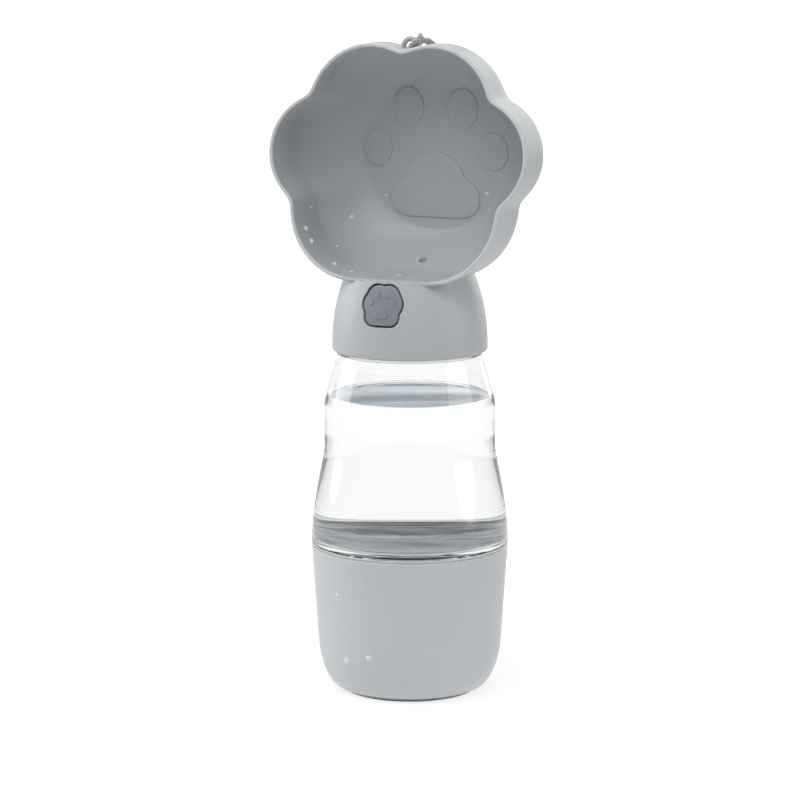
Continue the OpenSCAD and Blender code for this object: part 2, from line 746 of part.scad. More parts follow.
module valve_stem() {
    color([0.8, 0.81, 0.82]) difference() {
        union() {
            along_y(stem_front_y, valve_z)
                cylinder(h = seat_y0 - 1 - stem_front_y, r = stem_r, $fn = 48);
            along_y(seat_y0 - 1 - eps, valve_z)
                cylinder(h = seat_y1 + washer_t - seat_y0 + 1 + 2 * eps, r = stem_neck_r, $fn = 48);
            along_y(seat_y1 + washer_t, valve_z)
                cylinder(h = poppet_t, r = outlet_bore_r - 0.5, $fn = 48);
        }
        along_y(stem_groove_y - stem_groove_w / 2, valve_z)
            ring(stem_r - stem_groove_d, stem_r + 1, stem_groove_w, $fn = 48);
    }
}

module stem_oring() {
    bead_r = (chamber_r - stem_r + stem_groove_d) / 2 - 0.03;
    color([0.2, 0.21, 0.22]) along_y(stem_groove_y, valve_z)
        oring(stem_r - stem_groove_d + bead_r + 0.01, bead_r);
}

module poppet_washer() {
    color([0.92, 0.93, 0.93]) along_y(seat_y1, valve_z)
        ring(stem_neck_r + 0.02, outlet_bore_r - 0.35, washer_t);
}

// Coil with flat-lying ends, between the button's flange and the valve's barrel
module return_spring() {
    coil_r = btn_boss_r + wire_r + 0.35;
    y0 = flange_back_y + wire_r + 0.05;
    y1 = barrel_y0 - wire_r - 0.05;
    per_turn = 20;
    steps = spring_turns * per_turn;
    rings = [for (k = [0:steps])
        let (a = 360 * k / per_turn,
             y = y0 + (y1 - y0) * k / steps,
             rise = atan((y1 - y0) / spring_turns / (2 * PI * coil_r)))
        [for (j = [7:-1:0]) let (b = 45 * j, out = wire_r * cos(b), side = wire_r * sin(b))
            [(coil_r + out) * cos(a) + side * sin(rise) * sin(a),
             y + side * cos(rise),
             valve_z + (coil_r + out) * sin(a) - side * sin(rise) * cos(a)]]];
    color([0.7, 0.71, 0.72]) skin(rings);
}

// ---------------------------------------------------------------- lanyard

// Route of the cord: from the ferrule up the bowl's back, over the lug to its front, through
// it from the front, and back down beside itself
ferrule_x = 2.5;
ferrule_y = collar_r + ferrule_r + 0.05;
ferrule_top_z = collar_z + 12.9;
back_y = floor_y + bowl_wall + 1.8;
cord_route = [
    [1.4, ferrule_y, ferrule_top_z], [1.4, ferrule_y - 0.4, ferrule_top_z + 6],
    [1.3, ferrule_y - 2, lug_z - 77], [1.2, back_y + 1, lug_z - 67], [1.1, back_y, lug_z - 55],
    [1, back_y, lug_z - 41], [1, back_y, lug_z - 28], [1, back_y, lug_z - 16],
    [1, back_y - 0.2, lug_z - 9.5], [1, back_y - 2.2, lug_z - 5.4], [0.9, back_y - 5.6, lug_z - 2],
    [0.8, lug_y + 15, lug_z + 0.2], [0.7, lug_y + 10.5, lug_z + 1.8], [0.7, lug_y + 7, lug_z + 3.1],
    [1.2, lug_y + 5, lug_z + 3.9], [2.3, lug_y + 2.8, lug_z + 4.2], [3.3, lug_y + 0.4, lug_z + 4.1],
    [3.2, lug_y - 1.7, lug_z + 3], [2.1, lug_y - 2.4, lug_z + 1.9], [0.9, lug_y - 2, lug_z + 1],
    [0.1, lug_y - 0.7, lug_z + 0.68], [0, lug_y + 1, lug_z + 0.66], [0.4, lug_y + 2.8, lug_z + 0.9],
    [1.5, lug_y + 4.4, lug_z + 1.5], [2.6, lug_y + 5.7, lug_z + 2.1], [3.3, lug_y + 7.4, lug_z + 2.2],
    [3.4, lug_y + 10, lug_z + 1.3], [3.6, lug_y + 15, lug_z - 0.6], [3.8, back_y - 5.6, lug_z - 2.4],
    [3.8, back_y - 2.2, lug_z - 5.6], [3.8, back_y - 0.2, lug_z - 9.5], [3.8, back_y, lug_z - 16],
    [3.8, back_y, lug_z - 28], [3.8, back_y, lug_z - 41], [3.8, back_y, lug_z - 55],
    [3.8, back_y + 1, lug_z - 67], [3.7, ferrule_y - 2, lug_z - 77],
    [3.6, ferrule_y - 0.4, ferrule_top_z + 6], [3.6, ferrule_y, ferrule_top_z]];
cord_sub = 2;

function unit(v) = v / norm(v);
function pick(points, i) = points[max(0, min(len(points) - 1, i))];
function spline(p0, p1, p2, p3, t) =
    0.5 * (2 * p1 + (p2 - p0) * t + (2 * p0 - 5 * p1 + 4 * p2 - p3) * t * t
           + (3 * p1 - p0 - 3 * p2 + p3) * t * t * t);
function smooth_route(points) = concat(
    [for (i = [0:len(points) - 2]) for (s = [0:cord_sub - 1])
        spline(pick(points, i - 1), points[i], points[i + 1], pick(points, i + 2), s / cord_sub)],
    [points[len(points) - 1]]);

module lanyard_cord() {
    path = smooth_route(cord_route);
    last = len(path) - 1;
    rings = [for (k = [0:last])
        let (t = k == 0 || k == last ? [0, 0, k == 0 ? 1 : -1]
                 : unit(path[k + 1] - path[k - 1]),
             u = unit([1, 0, 0] - t[0] * t),
             v = cross(t, u))
        [for (j = [7:-1:0]) path[k] + cord_d / 2 * (cos(45 * j) * u + sin(45 * j) * v)]];
    color([0.62, 0.61, 0.6]) skin(rings);
}

module lanyard_ferrule() {
    color([0.6, 0.61, 0.62]) translate([ferrule_x, ferrule_y, ferrule_top_z - ferrule_h])
        rotate_extrude($fn = 48) polygon([
            [0, 0], [ferrule_r - 0.6, 0], [ferrule_r, 0.6], [ferrule_r, ferrule_h - 0.6],
            [ferrule_r - 0.5, ferrule_h], [0, ferrule_h]]);
}

food_cup();
cup_seal_ring();
bottle();
neck_gasket();
paw_bowl();
screw_insert();
valve_body();
valve_screws();
inlet_seal();
outlet_grommet();
vent_valve();
barrel_plug();
plug_oring();
paw_button();
valve_stem();
stem_oring();
poppet_washer();
return_spring();
lanyard_cord();
lanyard_ferrule();
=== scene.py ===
"""The finished look of a dog travel water bottle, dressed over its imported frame.

The frame gives every piece's place and body. This script gives the pieces their smooth
shapes and their finishes: the paw bowl with its collar and button, the clear bottle with
its water, the food cup, the seals, the valve behind the button and the braided lanyard.
All lengths are in metres, +Z is up, and the bowl and the button face -Y.
"""

import logging
import math
import random
from dataclasses import dataclass
from enum import Enum
from typing import Callable, Sequence

import bmesh
import bpy
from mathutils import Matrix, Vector


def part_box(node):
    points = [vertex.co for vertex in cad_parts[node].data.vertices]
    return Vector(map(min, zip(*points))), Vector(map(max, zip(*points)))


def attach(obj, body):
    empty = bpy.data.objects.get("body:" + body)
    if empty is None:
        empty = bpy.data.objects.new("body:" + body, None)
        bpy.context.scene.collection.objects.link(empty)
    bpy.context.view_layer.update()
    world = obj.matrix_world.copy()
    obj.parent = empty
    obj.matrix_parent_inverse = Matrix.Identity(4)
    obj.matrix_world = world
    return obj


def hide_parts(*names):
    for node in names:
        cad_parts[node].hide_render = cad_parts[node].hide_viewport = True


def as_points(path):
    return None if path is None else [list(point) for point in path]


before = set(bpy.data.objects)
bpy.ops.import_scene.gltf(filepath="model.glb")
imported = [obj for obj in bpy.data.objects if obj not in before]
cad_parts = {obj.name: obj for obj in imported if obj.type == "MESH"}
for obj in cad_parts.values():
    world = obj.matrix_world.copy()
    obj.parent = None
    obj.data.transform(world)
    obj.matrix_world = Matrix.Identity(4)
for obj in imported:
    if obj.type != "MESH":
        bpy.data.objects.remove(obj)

log = logging.getLogger("dog_bottle")

MM = 0.001
Ring = list[Vector]
Profile = list[tuple[float, float]]
Triple = tuple[float, float, float]
Colour = Triple
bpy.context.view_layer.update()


# ------------------------------------------------------------------ modelling moves


class Cut(Enum):
    """What a boolean does with its tool."""

    JOIN = "UNION"
    REMOVE = "DIFFERENCE"


class Workbench:
    """Modelling moves made with Blender's own operators, as by hand."""

    @staticmethod
    def deselect() -> None:
        """Leaves edit mode and selects nothing."""
        if bpy.context.object and bpy.context.object.mode != "OBJECT":
            bpy.ops.object.mode_set(mode="OBJECT")
        bpy.ops.object.select_all(action="DESELECT")

    @staticmethod
    def pick(piece: bpy.types.Object) -> None:
        """Selects one piece and makes it the active one."""
        Workbench.deselect()
        piece.select_set(True)
        bpy.context.view_layer.objects.active = piece

    @staticmethod
    def named(name: str) -> bpy.types.Object:
        """Names the piece that was just added, and its mesh."""
        piece = bpy.context.object
        piece.name = name
        piece.data.name = name
        return piece

    @staticmethod
    def close_up() -> None:
        """In edit mode: merges doubles and has Blender turn the faces outwards."""
        bpy.ops.mesh.select_all(action="SELECT")
        bpy.ops.mesh.remove_doubles(threshold=0.002 * MM)
        bpy.ops.mesh.normals_make_consistent(inside=False)
        bpy.ops.object.mode_set(mode="OBJECT")

    @staticmethod
    def lathe(name: str, profile: Profile, steps: int = 192) -> bpy.types.Object:
        """Spins a profile about the bottle's axis.

        Args:
            name: The new piece's name.
            profile: Radius and height of each point. A hollow profile ends where it
                starts, and a solid one starts and ends on the axis.
            steps: How many faces go round.

        Returns:
            The new piece, closed and facing outwards.
        """
        Workbench.deselect()
        bpy.ops.mesh.primitive_plane_add(size=MM)
        piece = Workbench.named(name)
        bpy.ops.object.mode_set(mode="EDIT")
        bpy.ops.mesh.merge(type="CENTER")
        bpy.ops.transform.translate(value=(profile[0][0], 0, profile[0][1]))
        for (r0, z0), (r1, z1) in zip(profile, profile[1:]):
            bpy.ops.mesh.extrude_vertices_move(
                TRANSFORM_OT_translate={"value": (r1 - r0, 0, z1 - z0)})
        bpy.ops.mesh.select_all(action="SELECT")
        bpy.ops.mesh.spin(steps=steps, angle=2 * math.pi, center=(0, 0, 0), axis=(0, 0, 1))
        Workbench.close_up()
        return piece

    @staticmethod
    def loft(name: str, rings: Sequence[Ring]) -> bpy.types.Object:
        """Extrudes a ring of edges through a row of places, and fills both ends.

        Args:
            name: The new piece's name.
            rings: The places, each a closed ring with the same number of points.

        Returns:
            The new piece, closed and facing outwards.
        """
        count = len(rings[0])
        Workbench.deselect()
        bpy.ops.mesh.primitive_circle_add(vertices=count, radius=1.0)
        piece = Workbench.named(name)
        bpy.ops.object.mode_set(mode="EDIT")
        mesh = bmesh.from_edit_mesh(piece.data)
        order = list(mesh.verts)
        for vert, place in zip(order, rings[0]):
            vert.co = place
        bpy.ops.mesh.edge_face_add()
        bpy.ops.mesh.select_mode(type="EDGE")
        for ring in rings[1:]:
            places = {tuple(round(c, 7) for c in v.co): i for i, v in enumerate(order)}
            bpy.ops.mesh.extrude_edges_move()
            mesh = bmesh.from_edit_mesh(piece.data)
            fresh = [v for v in mesh.verts if v.select]
            order = sorted(fresh, key=lambda v: places[tuple(round(c, 7) for c in v.co)])
            for vert, place in zip(order, ring):
                vert.co = place
        bpy.ops.mesh.edge_face_add()
        bpy.ops.mesh.select_mode(type="VERT")
        Workbench.close_up()
        return piece

    @staticmethod
    def apply(piece: bpy.types.Object) -> None:
        """Applies every modifier of a piece, in order."""
        Workbench.pick(piece)
        for modifier in list(piece.modifiers):
            bpy.ops.object.modifier_apply(modifier=modifier.name)

    @staticmethod
    def boolean(piece: bpy.types.Object, tool: bpy.types.Object, cut: Cut) -> None:
        """Joins a tool to a piece or cuts it out, and deletes the tool."""
        modifier = piece.modifiers.new(cut.name.lower(), "BOOLEAN")
        modifier.operation = cut.value
        modifier.solver = "MANIFOLD"
        modifier.object = tool
        Workbench.apply(piece)
        mesh = tool.data
        bpy.data.objects.remove(tool)
        bpy.data.meshes.remove(mesh)

    @staticmethod
    def block(name: str, low: Triple, high: Triple) -> bpy.types.Object:
        """A box between two corners."""
        Workbench.deselect()
        bpy.ops.mesh.primitive_cube_add(size=1.0)
        piece = Workbench.named(name)
        Workbench.set_in_place([h - l for l, h in zip(low, high)],
                               [(l + h) / 2 for l, h in zip(low, high)])
        return piece

    @staticmethod
    def post(name: str, radius: float, place: tuple[float, float], low: float,
             high: float) -> bpy.types.Object:
        """An upright cylinder between two heights."""
        Workbench.deselect()
        bpy.ops.mesh.primitive_cylinder_add(vertices=64, radius=radius, depth=high - low)
        piece = Workbench.named(name)
        Workbench.set_in_place((1, 1, 1), (*place, (low + high) / 2))
        return piece

    @staticmethod
    def rod(name: str, radius: float, height: float, front: float, back: float) -> bpy.types.Object:
        """A cylinder along Y at a height, in the middle, between two depths."""
        Workbench.deselect()
        bpy.ops.mesh.primitive_cylinder_add(vertices=64, radius=radius, depth=back - front)
        piece = Workbench.named(name)
        bpy.ops.object.mode_set(mode="EDIT")
        bpy.ops.mesh.select_all(action="SELECT")
        bpy.ops.transform.rotate(value=math.pi / 2, orient_axis="X", center_override=(0, 0, 0))
        Workbench.set_in_place((1, 1, 1), (0, (front + back) / 2, height))
        return piece

    @staticmethod
    def set_in_place(scale: Sequence[float], place: Sequence[float]) -> None:
        """Scales and moves the active piece's mesh."""
        bpy.ops.object.mode_set(mode="EDIT")
        bpy.ops.mesh.select_all(action="SELECT")
        bpy.ops.transform.resize(value=tuple(scale), center_override=(0, 0, 0))
        bpy.ops.transform.translate(value=tuple(place))
        bpy.ops.object.mode_set(mode="OBJECT")

    @staticmethod
    def rename(piece: bpy.types.Object, name: str) -> bpy.types.Object:
        """Gives a piece and its mesh another name."""
        Workbench.pick(piece)
        return Workbench.named(name)

    @staticmethod
    def merge(name: str, pieces: Sequence[bpy.types.Object]) -> bpy.types.Object:
        """Makes several pieces one object, each with its own closed surface."""
        Workbench.pick(pieces[0])
        for piece in pieces[1:]:
            piece.select_set(True)
        bpy.ops.object.join()
        return Workbench.named(name)

    @staticmethod
    def smooth(piece: bpy.types.Object, degrees: float = 35.0) -> None:
        """Shades a piece smooth, except where it turns more than that."""
        Workbench.pick(piece)
        bpy.ops.object.shade_smooth_by_angle(angle=math.radians(degrees))

    @staticmethod
    def round_edges(
        piece: bpy.types.Object, wanted: Callable[[Vector], bool], width: float, segments: int = 3
    ) -> None:
        """Bevels the sharp edges whose two ends are both wanted.

        Args:
            piece: The piece to bevel.
            wanted: Says of a point whether an edge there is to be rounded.
            width: The bevel's width.
            segments: How many faces make the rounding.
        """
        Workbench.pick(piece)
        bpy.ops.object.mode_set(mode="EDIT")
        bpy.ops.mesh.select_mode(type="EDGE")
        bpy.ops.mesh.select_all(action="DESELECT")
        mesh = bmesh.from_edit_mesh(piece.data)
        sharp = math.radians(40)
        for edge in mesh.edges:
            if len(edge.link_faces) == 2 and edge.calc_face_angle(0.0) > sharp:
                edge.select = all(wanted(v.co) for v in edge.verts)
        bmesh.update_edit_mesh(piece.data)
        bpy.ops.mesh.bevel(offset=width, offset_type="OFFSET", segments=segments,
                           affect="EDGES", clamp_overlap=True)
        bpy.ops.mesh.select_mode(type="VERT")
        Workbench.close_up()


def arc(centre: tuple[float, float], radius: float, start: float, end: float,
        steps: int) -> Profile:
    """Points on an arc of a profile, from one angle to another, in degrees."""
    angles = [math.radians(start + (end - start) * i / steps) for i in range(steps + 1)]
    return [(centre[0] + radius * math.cos(a), centre[1] + radius * math.sin(a)) for a in angles]


def between(low: float, high: float, steps: int) -> list[float]:
    """Evenly spaced numbers from low to high, both included."""
    return [low + (high - low) * i / steps for i in range(steps + 1)]


def spline(points: Sequence[Vector], parts: int) -> list[Vector]:
    """A smooth curve through points, each gap cut into parts."""
    last = len(points) - 1
    curve = []
    for i in range(last):
        p0, p1, p2, p3 = (points[max(0, min(last, i + k))] for k in (-1, 0, 1, 2))
        for s in range(parts):
            t = s / parts
            curve.append(0.5 * (2 * p1 + (p2 - p0) * t + (2 * p0 - 5 * p1 + 4 * p2 - p3) * t * t
                                + (3 * p1 - p0 - 3 * p2 + p3) * t * t * t))
    return curve + [points[last]]


# ------------------------------------------------------------------ shader tools


class Wire:
    """A shader value. Python's operators on it add Math nodes."""

    def __init__(self, bench: "ShaderBench", socket: bpy.types.NodeSocket) -> None:
        """Wraps an output socket of a material's node tree."""
        self.bench = bench
        self.socket = socket

    def _math(self, operation: str, first: "Value", second: "Value") -> "Wire":
        """Adds one Math node."""
        return self.bench.node("ShaderNodeMath", {"operation": operation}, {0: first, 1: second})

    def __add__(self, other: "Value") -> "Wire":
        """Sum."""
        return self._math("ADD", self, other)

    __radd__ = __add__

    def __sub__(self, other: "Value") -> "Wire":
        """Difference."""
        return self._math("SUBTRACT", self, other)

    def __rsub__(self, other: "Value") -> "Wire":
        """Difference the other way round."""
        return self._math("SUBTRACT", other, self)

    def __mul__(self, other: "Value") -> "Wire":
        """Product."""
        return self._math("MULTIPLY", self, other)

    __rmul__ = __mul__

    def __pow__(self, other: "Value") -> "Wire":
        """Power."""
        return self._math("POWER", self, other)


Value = Wire | float


class ShaderBench:
    """Builds the node tree of one material or world."""

    def __init__(self, owner: bpy.types.Material | bpy.types.World) -> None:
        """Clears the owner's node tree."""
        owner.use_nodes = True
        self.owner = owner
        self.tree = owner.node_tree
        self.tree.nodes.clear()

    def node(
        self,
        kind: str,
        settings: dict[str, object] | None = None,
        inputs: dict[str | int, object] | None = None,
        output: str | int = 0,
    ) -> Wire:
        """Adds a node.

        Args:
            kind: The node's type.
            settings: Its settings, such as a Math node's operation. They are set first.
            inputs: A value or a wire for each socket, by the socket's name or number.
            output: The name or number of the output that is wanted.

        Returns:
            The wanted output.
        """
        made = self.tree.nodes.new(kind)
        for key, value in (settings or {}).items():
            setattr(made, key, value)
        for key, value in (inputs or {}).items():
            if isinstance(value, Wire):
                self.tree.links.new(value.socket, made.inputs[key])
            else:
                made.inputs[key].default_value = value
        return Wire(self, made.outputs[output])

    def place(self) -> Wire:
        """The shaded point in the row frame."""
        return self.node("ShaderNodeTexCoord", output="Object")

    def noise(self, size: float, detail: float = 2.0, stretch: Triple = (1, 1, 1)) -> Wire:
        """Noise with features of about that size, from 0 to 1."""
        moved = self.node("ShaderNodeMapping", inputs={"Vector": self.place(), "Scale": stretch})
        return self.node("ShaderNodeTexNoise", inputs={
            "Vector": moved, "Scale": 1.0 / size, "Detail": detail}, output="Fac")

    def mix(self, amount: Value, first: Colour | Wire, second: Colour | Wire) -> Wire:
        """Mixes two colours."""
        inputs = {0: amount}
        for index, colour in ((6, first), (7, second)):
            inputs[index] = colour if isinstance(colour, Wire) else (*colour, 1.0)
        return self.node("ShaderNodeMix", {"data_type": "RGBA"}, inputs, output=2)

    def bump(self, height: Wire, depth: float) -> Wire:
        """A normal that follows a height of 0 to 1 times depth."""
        return self.node("ShaderNodeBump", inputs={
            "Height": height, "Distance": depth, "Strength": 1.0}, output="Normal")

    def rays(self, *kinds: str) -> Wire:
        """1 for rays of any of these kinds, else 0."""
        path = self.tree.nodes.new("ShaderNodeLightPath")
        wires = [Wire(self, path.outputs[f"Is {kind} Ray"]) for kind in kinds]
        total = wires[0]
        for wire in wires[1:]:
            total = self.node("ShaderNodeMath", {"operation": "MAXIMUM"}, {0: total, 1: wire})
        return total

    def surface(self, inputs: dict[str | int, object]) -> bpy.types.Material:
        """Ends the tree with a Principled surface and gives the material."""
        return self.finish(self.node("ShaderNodeBsdfPrincipled", inputs=inputs))

    def glass(self, tint: Colour, inputs: dict[str | int, object]) -> bpy.types.Material:
        """Ends the tree with a clear surface that lets soft light through to what is behind.

        Args:
            tint: What is left of the light that passes one surface.
            inputs: Values or wires for the Principled node's sockets.

        Returns:
            The material.
        """
        solid = self.node("ShaderNodeBsdfPrincipled", inputs={"Transmission Weight": 1.0, **inputs})
        clear = self.node("ShaderNodeBsdfTransparent", inputs={"Color": (*tint, 1.0)})
        amount = self.rays("Shadow", "Diffuse")
        return self.finish(self.node("ShaderNodeMixShader", inputs={0: amount, 1: solid, 2: clear}))

    def finish(self, shader: Wire) -> bpy.types.Material:
        """Links a shader to the output and gives the material or world."""
        kind = "World" if isinstance(self.owner, bpy.types.World) else "Material"
        out = self.tree.nodes.new(f"ShaderNodeOutput{kind}")
        self.tree.links.new(shader.socket, out.inputs["Surface"])
        return self.owner


def new_bench(name: str) -> ShaderBench:
    """A bench with a new material."""
    return ShaderBench(bpy.data.materials.new(name))


# ------------------------------------------------------------------ finishes


@dataclass(frozen=True)
class MouldedPlastic:
    """Opaque moulded plastic with a fine spark-eroded grain."""

    name: str
    colour: Colour
    roughness: float = 0.42
    grain: float = 0.35 * MM
    grain_depth: float = 0.006 * MM
    mottle: float = 0.03

    def material(self) -> bpy.types.Material:
        """Builds the material."""
        bench = new_bench(self.name)
        cloud = bench.noise(18 * MM, 3.0)
        fine = bench.noise(self.grain, 2.0)
        darker = tuple(c * (1 - self.mottle) for c in self.colour)
        lighter = tuple(min(1.0, c * (1 + self.mottle)) for c in self.colour)
        return bench.surface({
            "Base Color": bench.mix(cloud, darker, lighter),
            "Roughness": self.roughness - 0.04 + 0.05 * cloud + 0.03 * fine,
            "Normal": bench.bump(fine, self.grain_depth),
        })


@dataclass(frozen=True)
class ClearPlastic:
    """Clear polished copolyester. Its colour turns grey where it is seen edge on: painted shade,
    for the darker edges of a clear wall.
    """

    name: str
    clear: Colour = (1.0, 1.0, 1.0)
    # Painted shade: the grey that the colour turns to where a wall is seen edge on.
    edge: Colour = (0.80, 0.82, 0.84)
    shade: Colour = (0.96, 0.965, 0.97)
    ior: float = 1.52

    def material(self) -> bpy.types.Material:
        """Builds the material."""
        bench = new_bench(self.name)
        facing = bench.node("ShaderNodeLayerWeight", inputs={"Blend": 0.35}, output="Facing")
        waves = bench.noise(9 * MM, 1.0, (1, 1, 0.35))
        return bench.glass(self.shade, {
            "Base Color": bench.mix(facing ** 3.0, self.clear, self.edge),
            "Roughness": 0.012,
            "IOR": self.ior,
            "Normal": bench.bump(waves, 0.02 * MM),
        })


@dataclass(frozen=True)
class Liquid:
    """Still, clean water."""

    name: str
    colour: Colour = (1.0, 1.0, 1.0)
    ior: float = 1.333
    # The share of light that passes; the rest shows the base colour, which on the drops is a
    # painted highlight.
    clear_share: float = 1.0

    def material(self) -> bpy.types.Material:
        """Builds the material."""
        bench = new_bench(self.name)
        ripple = bench.noise(14 * MM, 1.0)
        return bench.glass((0.99, 0.99, 0.99), {
            "Base Color": (*self.colour, 1.0),
            "Transmission Weight": self.clear_share,
            "Roughness": 0.0,
            "IOR": self.ior,
            "Normal": bench.bump(ripple, 0.01 * MM),
        })


@dataclass(frozen=True)
class Passing:
    """A face that light passes straight through: where water touches the wall, and the throat."""

    name: str
    tint: Colour = (0.995, 0.998, 1.0)

    def material(self) -> bpy.types.Material:
        """Builds the material."""
        bench = new_bench(self.name)
        return bench.finish(bench.node("ShaderNodeBsdfTransparent", inputs={
            "Color": (*self.tint, 1.0)}))


@dataclass(frozen=True)
class Rubber:
    """Silicone or nitrile rubber with a dusty bloom."""

    name: str
    colour: Colour
    bloom: Colour
    roughness: float = 0.6

    def material(self) -> bpy.types.Material:
        """Builds the material."""
        bench = new_bench(self.name)
        dust = bench.noise(3 * MM, 4.0)
        fine = bench.noise(0.4 * MM, 2.0)
        return bench.surface({
            "Base Color": bench.mix(dust * 0.5, self.colour, self.bloom),
            "Roughness": self.roughness + 0.1 * dust,
            "Normal": bench.bump(fine, 0.01 * MM),
        })


@dataclass(frozen=True)
class DrawnSteel:
    """Stainless wire and screws, with fine drawing marks."""

    name: str
    colour: Colour = (0.62, 0.62, 0.63)

    def material(self) -> bpy.types.Material:
        """Builds the material."""
        bench = new_bench(self.name)
        marks = bench.noise(0.25 * MM, 3.0, (1, 0.08, 1))
        tarnish = bench.noise(4 * MM, 3.0)
        darker = tuple(c * 0.82 for c in self.colour)
        return bench.surface({
            "Base Color": bench.mix(tarnish, darker, self.colour),
            "Metallic": 1.0,
            "Roughness": 0.22 + 0.16 * marks,
            "Normal": bench.bump(marks, 0.004 * MM),
        })


@dataclass(frozen=True)
class Yarn:
    """Twisted polyester yarn of a braid. It follows the strand's own UV map."""

    name: str
    colour: Colour

    def material(self) -> bpy.types.Material:
        """Builds the material."""
        bench = new_bench(self.name)
        uv = bench.node("ShaderNodeTexCoord", output="UV")
        twisted = bench.node("ShaderNodeMapping", inputs={
            "Vector": uv, "Rotation": (0, 0, math.radians(24)), "Scale": (1.0, 6.0, 1.0)})
        fibres = bench.node("ShaderNodeTexNoise", inputs={
            "Vector": twisted, "Scale": 3.0, "Detail": 2.0}, output="Fac")
        soil = bench.noise(2.5 * MM, 2.0)
        darker = tuple(c * 0.72 for c in self.colour)
        return bench.surface({
            "Base Color": bench.mix(0.6 * fibres + 0.4 * soil, darker, self.colour),
            "Roughness": 0.7 + 0.15 * fibres,
            "Sheen Weight": 0.25,
            "Normal": bench.bump(fibres, 0.05 * MM),
        })


SHELL = MouldedPlastic("shell_plastic", (0.478, 0.503, 0.516))
# The cup is set paler than the shell, though it is the same plastic: painted light, for the light
# bounced up onto it from the white table.
CUP_WITH_PAINTED_LIGHT = MouldedPlastic("cup_plastic_painted_light", (0.575, 0.602, 0.617))
# The bowl's rim is set paler still: a painted highlight on its rounded lip.
EDGE = MouldedPlastic("rim_painted_highlight", (0.590, 0.615, 0.630))
BUTTON = MouldedPlastic("button_plastic", (0.226, 0.250, 0.282), roughness=0.38)
INNER = MouldedPlastic("inner_plastic", (0.78, 0.78, 0.76), roughness=0.36)
FERRULE = MouldedPlastic("ferrule_plastic", (0.22, 0.24, 0.26), roughness=0.35)
CLEAR = ClearPlastic("clear_plastic")
WET = ClearPlastic("wet_plastic", ior=1.14)
WATER = Liquid("water")
TOUCHING = Passing("touching_water")
# The drops are only half clear. The rest is a whitish colour: a painted highlight, for the light
# that real drops reflect.
DROP_PAINTED_HIGHLIGHT = Liquid("drop", (0.93, 0.95, 0.97), clear_share=0.5)
SILICONE = Rubber("silicone_white", (0.72, 0.74, 0.75), (0.82, 0.83, 0.83), 0.45)
NITRILE = Rubber("nitrile", (0.02, 0.02, 0.022), (0.07, 0.07, 0.07))
STEEL = DrawnSteel("steel")
YARN_GREY = Yarn("yarn_grey", (0.64, 0.63, 0.62))
YARN_PALE = Yarn("yarn_pale", (0.88, 0.87, 0.86))


class Wardrobe:
    """Keeps one material for each finish and puts it on pieces."""

    def __init__(self) -> None:
        """Starts with no material made."""
        self.made: dict[str, bpy.types.Material] = {}

    def get(self, finish: object) -> bpy.types.Material:
        """The finish's material, made on its first use."""
        if finish.name not in self.made:
            self.made[finish.name] = finish.material()
        return self.made[finish.name]

    def dress(self, piece: bpy.types.Object, *finishes: object) -> None:
        """Replaces a piece's material slots by these finishes."""
        piece.data.materials.clear()
        for finish in finishes:
            piece.data.materials.append(self.get(finish))

    def dress_part(self, piece: bpy.types.Object, finish: object,
                   wanted: Callable[[Vector, Vector], bool]) -> None:
        """Gives some faces of a piece another finish.

        Args:
            piece: The piece, dressed before.
            finish: The finish of the wanted faces.
            wanted: Says of a face's middle and normal whether it is wanted.
        """
        piece.data.materials.append(self.get(finish))
        Workbench.pick(piece)
        bpy.ops.object.mode_set(mode="EDIT")
        bpy.ops.mesh.select_mode(type="FACE")
        bpy.ops.mesh.select_all(action="DESELECT")
        mesh = bmesh.from_edit_mesh(piece.data)
        for face in mesh.faces:
            face.select = wanted(face.calc_center_median(), face.normal)
        bmesh.update_edit_mesh(piece.data)
        piece.active_material_index = len(piece.data.materials) - 1
        bpy.ops.object.material_slot_assign()
        bpy.ops.mesh.select_mode(type="VERT")
        bpy.ops.object.mode_set(mode="OBJECT")

    def dress_node(self, name: str, finish: object) -> bpy.types.Object:
        """Puts a finish in the material slots of a frame's node, and gives the node."""
        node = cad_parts[name]
        for slot in node.material_slots:
            slot.material = self.get(finish)
        return node


WARDROBE = Wardrobe()


# ------------------------------------------------------------------ shared forms


@dataclass(frozen=True)
class PawOutline:
    """A paw outline in polar form: two toes, two side toes and a flat bottomed pad."""

    toe: Triple
    side: Triple
    pad: Triple
    blend: float = 28.0

    @staticmethod
    def _circle(angle: float, x: float, z: float, r: float) -> float:
        """Distance from the middle to the far side of a circle."""
        along = x * math.cos(angle) + z * math.sin(angle)
        reach = r * r - x * x - z * z + along * along
        return max(along + math.sqrt(reach), 0.01 * MM) if reach > 0 else 0.01 * MM

    def _pad(self, angle: float) -> float:
        """Distance from the middle to the pad's round corner or its flat bottom."""
        x, depth, r = self.pad
        if math.sin(angle) < 0:
            flat = (depth + r) / -math.sin(angle)
            if abs(flat * math.cos(angle)) < x:
                return flat
        return self._circle(angle, x, -depth, r)

    def radius(self, angle: float) -> float:
        """Distance from the middle to the outline, in radians round from +X."""
        if math.cos(angle) < 0:
            angle = math.pi - angle
        tx, tz, tr = self.toe
        sx, sz, sr = self.side
        reaches = [self._circle(angle, tx, tz, tr), self._circle(angle, -tx, tz, tr),
                   self._circle(angle, sx, sz, sr), self._pad(angle)]
        largest = max(reaches)
        return largest * sum((r / largest) ** self.blend for r in reaches) ** (1 / self.blend)


